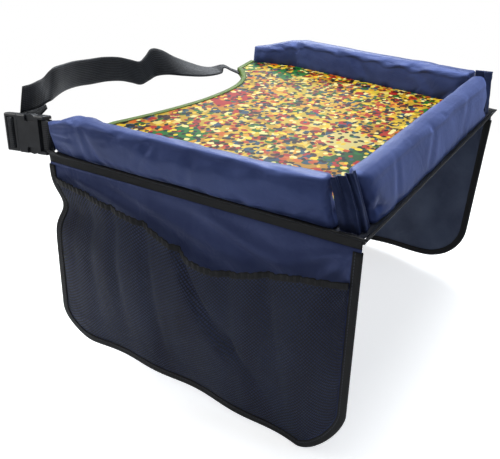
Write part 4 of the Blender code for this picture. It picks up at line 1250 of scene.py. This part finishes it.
def makeFrontTape():
    reach = base["width"] / 2 + tapes["proud"] / 2
    y = -base["depth"] / 2 - tapes["proud"] + tapes["thickness"] / 2
    rows = []
    for share in np.linspace(0.0, 1.0, 7):
        z = tapes["lap"] - (tapes["frontDrop"] + gap + tapes["lap"]) * share
        lapped = max(0.0, z) / tapes["lap"]
        bead = (tapes["thickness"] * 0.5 + tapes["bead"]) * lapped
        row = []
        for k in range(tapes["points"]):
            x = (reach + bead) * (2 * k / (tapes["points"] - 1) - 1)
            wave = tapes["frontWave"] * noise.noise(Vector((x * 50, share, 2.0)))
            row.append(Vector((x, y + wave - bead, z)))
        rows.append(row)
    mesh = gridMesh("front_tape", rows)
    piece = addPiece("front_tape", mesh, bindingTape, "tray", ["front_seam_tape"])
    return thicken(piece, tapes["thickness"] * 0.9)


for side in (near, far):
    makeSideTape(side)
    makePanel(side)
    makeBinding(side)
    makeNet(side)
    makeElastic(side)
makeFrontTape()
print("flaps made")


# Buckle: its moulded pieces keep their own shapes

for node in ("buckle_socket", "buckle_plug", "plug_arm_upper", "plug_arm_lower"):
    dress(nodes[node].data, blackPlastic)

buckle = {
    "standoff": 0.005,
    "height": 0.017,
    "droop": 6.5,
    "roll": 10.0,
    "bar": 0.0045,
    "barThickness": 0.005,
    "socketLength": 0.042,
    "plugLength": 0.021,
    "plugThickness": 0.0085,
    "plugBar": 0.0038,
    "slot": 0.0042,
}
webbing = {"width": 0.032, "thickness": 0.0015, "reach": 0.123, "rise": 0.038, "endWidth": 0.017}


def buckleFrame():
    along = wingDirection(near)
    out = outward(near, along)
    spot = wingEnd(near) - out * wall["thickness"] / 2 + along * buckle["standoff"]
    spot = spot + out * wall["lean"] * buckle["height"] / wall["height"]
    yaw = Matrix.Rotation(math.atan2(-along.x, along.y), 4, "Z")
    droop = Matrix.Rotation(math.radians(-buckle["droop"]), 4, "X")
    roll = Matrix.Rotation(math.radians(buckle["roll"]), 4, "Y")
    return Matrix.Translation((spot.x, spot.y, buckle["height"])) @ yaw @ droop @ roll


# Webbing along rows of (centre, width direction, width), with a slight cup and rounded edges
def makeWebbing(name, stations, body, replaced, steps, cup=0.0):
    fine = curveThrough([(*c, *Vector(w).normalized(), width) for c, w, width in stations], steps)
    centres = [Vector(row[:3]) for row in fine]
    rows = []
    for share in np.linspace(-0.5, 0.5, 11):
        row = []
        for i, values in enumerate(fine):
            across = Vector(values[3:6]).normalized()
            ahead = centres[min(i + 1, len(fine) - 1)] - centres[max(i - 1, 0)]
            out = ahead.cross(across).normalized()
            bow = cup * (1 - 4 * share * share + 0.4 * noise.noise(Vector((i * 0.12, share * 3, 0.0))))
            row.append(centres[i] + across * (values[6] * share) + out * bow)
        rows.append(row)
    piece = addPiece(name, gridMesh(name, rows), blackWebbing, body, replaced)
    thicken(piece, webbing["thickness"])
    piece.modifiers["Thickness"].use_even_offset = False
    return piece


def routeSpot(x, y, z):
    return Vector((base["width"] / 2 * x, base["depth"] / 2 + webbing["reach"] * y, webbing["rise"] * z))


def barCorner(x, y, first, last):
    reach = gap + webbing["thickness"] / 2
    turns = [math.radians(first + (last - first) * k / 3) for k in range(4)]
    return [(x + reach * math.cos(turn), y + reach * math.sin(turn)) for turn in turns]


# Shares of the half width, of the reach past the waist and of the rise,
# then the direction of the webbing's width and the share of its width
strapRoute = [
    ((-1.075, 0.740, 1.080), (0.31, 0.00, 1.0), 0.90),
    ((-1.028, 0.682, 1.142), (0.30, 0.10, 1.0), 0.90),
    ((-0.970, 0.618, 1.290), (0.60, 0.75, 1.0), 0.95),
    ((-0.890, 0.640, 1.420), (0.20, 0.10, 1.0), 1.00),
    ((-0.740, 0.810, 1.300), (0.10, -0.10, 1.0), 1.00),
    ((-0.590, 0.940, 1.180), (0.00, -0.10, 1.0), 1.00),
    ((-0.440, 1.000, 1.060), (0.00, 0.00, 1.0), 1.00),
    ((-0.321, 1.000, 1.010), (0.00, 0.00, 1.0), 1.00),
    ((-0.204, 0.992, 0.900), (0.00, 0.00, 1.0), 1.00),
    ((-0.115, 0.976, 0.743), (0.00, 0.00, 1.0), 1.00),
    ((-0.041, 0.943, 0.608), (0.05, 0.00, 1.0), 1.00),
    ((0.030, 0.943, 0.696), (0.00, 0.10, 1.0), 1.05),
    ((0.105, 0.943, 0.841), (-0.05, 0.15, 1.0), 1.20),
    ((0.164, 0.862, 0.822), (0.05, 0.40, 1.0), 1.10),
    ((0.238, 0.740, 0.659), (0.20, 1.00, 1.0), 1.00),
    ((0.384, 0.634, 0.427), (0.30, 2.50, 1.0), 1.00),
    ((0.526, 0.585, 0.290), (0.30, 6.00, 1.0), 0.80),
]


def makeStrap():
    stations = [(routeSpot(*place), lean, webbing["width"] * share) for place, lean, share in strapRoute]
    anchor = waistPoint(base["waistHalf"] - 0.006)
    ahead = (waistPoint(base["waistHalf"]) - waistPoint(base["waistHalf"] - 0.012)).normalized()
    normal = Vector((-ahead.y, ahead.x))
    for share in (4.0, 2.0, 0.0):
        spot = anchor + normal * (2 * gap + 0.0008 + 0.006 * share)
        height = base["printTop"] / 2 * (1 + share * 0.6)
        stations.append((Vector((spot.x, spot.y, height)), (ahead.x, ahead.y, 0.0), webbing["endWidth"]))
    return makeWebbing("strap", stations, "tray", ["waist_strap"], 9, cup=0.0010)


def makeStrapEnd():
    turned = buckleFrame()
    across = turned.to_3x3() @ Vector((0, 0, 1))
    end = buckle["socketLength"] + gap + buckle["plugLength"]
    half = buckle["plugThickness"] / 2
    barHigh = end - buckle["plugBar"] - buckle["slot"]
    barLow = barHigh - buckle["plugBar"]
    loop = [(half / 2, barHigh + gap + webbing["thickness"] / 2)]
    loop += barCorner(-half, barHigh, 90, 180) + barCorner(-half, barLow, 180, 270)
    loop += barCorner(half, barLow - buckle["slot"], 90, 0)
    stations = [(turned @ Vector((x, y, 0)), across, webbing["width"]) for x, y in loop]
    rise = [
        ((-1.1075, 0.756, 0.263), (0.10, 0.10, 1.00), 1.0),
        ((-1.0625, 0.703, 0.474), (0.35, 0.50, 0.80), 0.70),
        ((-1.0175, 0.658, 0.671), (0.50, 0.80, 0.30), 0.50),
        ((-0.9775, 0.614, 0.830), (0.55, 0.83, 0.00), 0.40),
    ]
    for place, lean, share in rise:
        stations.append((routeSpot(*place), lean, webbing["width"] * share))
    piece = makeWebbing("strap_loop", stations, None, ["strap_end"], 4)
    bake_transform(piece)
    return piece


def makeTab():
    turned = buckleFrame()
    along = wingDirection(near)
    out = outward(near, along)
    end = wingEnd(near) + along * (webbing["thickness"] * 0.4 + gap) - out * wall["thickness"] / 2
    end = end + out * wall["lean"] * buckle["height"] / wall["height"]
    aside = out * (webbing["thickness"] / 2 + gap)
    half = buckle["barThickness"] / 2
    reach = half + gap + webbing["thickness"] / 2
    bend = -buckle["standoff"] * 0.3
    loop = [(reach, bend), *barCorner(half, buckle["bar"], 0, 90)]
    loop += [*barCorner(-half, buckle["bar"], 90, 180), (-reach, bend)]
    up = Vector((0, 0, 1))
    across = turned.to_3x3() @ up
    stations = [((end - aside).to_3d() + up * buckle["height"], up, webbing["width"])]
    stations += [(turned @ Vector((x, y, 0)), across, webbing["width"]) for x, y in loop]
    stations += [((end + aside).to_3d() + up * buckle["height"], up, webbing["width"])]
    return makeWebbing("tab", stations, "tray", ["strap_tab"], 3)


makeStrap()
makeStrapEnd()
makeTab()
print("webbing made")


# Floor, light and camera

floorMesh = bpy.data.meshes.new("floor")
floorMesh.from_pydata([(-8, -8, 0), (8, -8, 0), (8, 8, 0), (-8, 8, 0)], [], [(0, 1, 2, 3)])
floor = bpy.data.objects.new("floor", floorMesh)
scene.collection.objects.link(floor)
floor.location.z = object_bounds()[0][2] - 0.0005
floorMaterial, floorTree, floorShader = newMaterial(
    "Studio floor",
    {
        "Base Color": (0.90, 0.90, 0.90, 1.0),
        "Roughness": 0.9,
        "Specular IOR Level": 0.1,
        "Emission Color": (1.0, 1.0, 1.0, 1.0),
    },
)
floorMesh.materials.append(floorMaterial)
# Seen straight, the floor is whiter than its light, and it fades into the white around it
floorSeen = addNode(floorTree, "LightPath")
floorGlow = addNode(
    floorTree, "Math", {"operation": "MULTIPLY", 1: 0.60}, {0: floorSeen.outputs["Is Camera Ray"]}
)
floorTree.links.new(floorGlow.outputs[0], floorShader.inputs["Emission Strength"])
floorSpot = addNode(floorTree, "TexCoord").outputs["Object"]
floorReach = addNode(floorTree, "VectorMath", {"operation": "LENGTH"}, {0: floorSpot})
floorFade = addNode(
    floorTree,
    "MapRange",
    {"From Min": 0.40, "From Max": 0.85, "To Min": 1.0, "To Max": 0.0},
    {"Value": floorReach.outputs["Value"]},
)
floorTree.links.new(floorFade.outputs["Result"], floorShader.inputs["Alpha"])

world = bpy.data.worlds.new("Studio")
scene.world = world
world.use_nodes = True
sky = world.node_tree
sky.nodes.clear()
seen = addNode(sky, "LightPath")
ambient = addNode(sky, "Background", {"Color": (0.93, 0.96, 1.0, 1.0), "Strength": 0.36})
white = addNode(sky, "Background", {"Color": (1.0, 1.0, 1.0, 1.0), "Strength": 1.0})
mixSky = addNode(
    sky, "MixShader", {}, {0: seen.outputs["Is Camera Ray"], 1: ambient.outputs[0], 2: white.outputs[0]}
)
addNode(sky, "OutputWorld", {}, {"Surface": mixSky.outputs[0]})

# Name, place, aim, size, power and colour
lamps = [
    ("overhead", (0.2, 0.25, 1.2), (0, 0, 0), 0.9, 27.0, (0.95, 0.98, 1)),
    ("behind", (1.05, 0.72, 0.78), (0, 0, 0), 0.7, 11.0, (0.9, 0.95, 1)),
    ("front", (0.45, -1.5, 0.6), (0, 0, -0.05), 0.8, 2.9, (0.42, 0.64, 1)),
    ("left", (-1.1, 1.2, 0.5), (0, 0, -0.1), 0.5, 4.4, (1, 0.98, 0.94)),
]
for name, place, aim, size, power, colour in lamps:
    light = bpy.data.lights.new(name, "AREA")
    light.size = size
    light.energy = power
    light.color = colour
    holder = bpy.data.objects.new(name, light)
    scene.collection.objects.link(holder)
    holder.location = place
    holder.rotation_euler = (Vector(aim) - Vector(place)).to_track_quat("-Z", "Y").to_euler()

view = {
    "place": (-0.568, -0.294, 0.233),
    "yaw": 56.07,
    "pitch": 30.42,
    "roll": 1.28,
    "lens": 40.32,
}
yaw, pitch, roll = (math.radians(view[k]) for k in ("yaw", "pitch", "roll"))
ahead = Vector((math.sin(yaw) * math.cos(pitch), math.cos(yaw) * math.cos(pitch), -math.sin(pitch)))
level = Vector((math.cos(yaw), -math.sin(yaw), 0))
upright = level.cross(ahead)
right = level * math.cos(roll) + upright * math.sin(roll)
up = upright * math.cos(roll) - level * math.sin(roll)
lens = bpy.data.cameras.new("camera")
lens.lens = view["lens"]
lens.sensor_width = 36
lens.clip_start = 0.01
camera = bpy.data.objects.new("camera", lens)
scene.collection.objects.link(camera)
camera.matrix_world = Matrix.Translation(view["place"]) @ Matrix((right, up, -ahead)).transposed().to_4x4()
scene.camera = camera
scene.view_settings.view_transform = "Standard"

print("stage made")
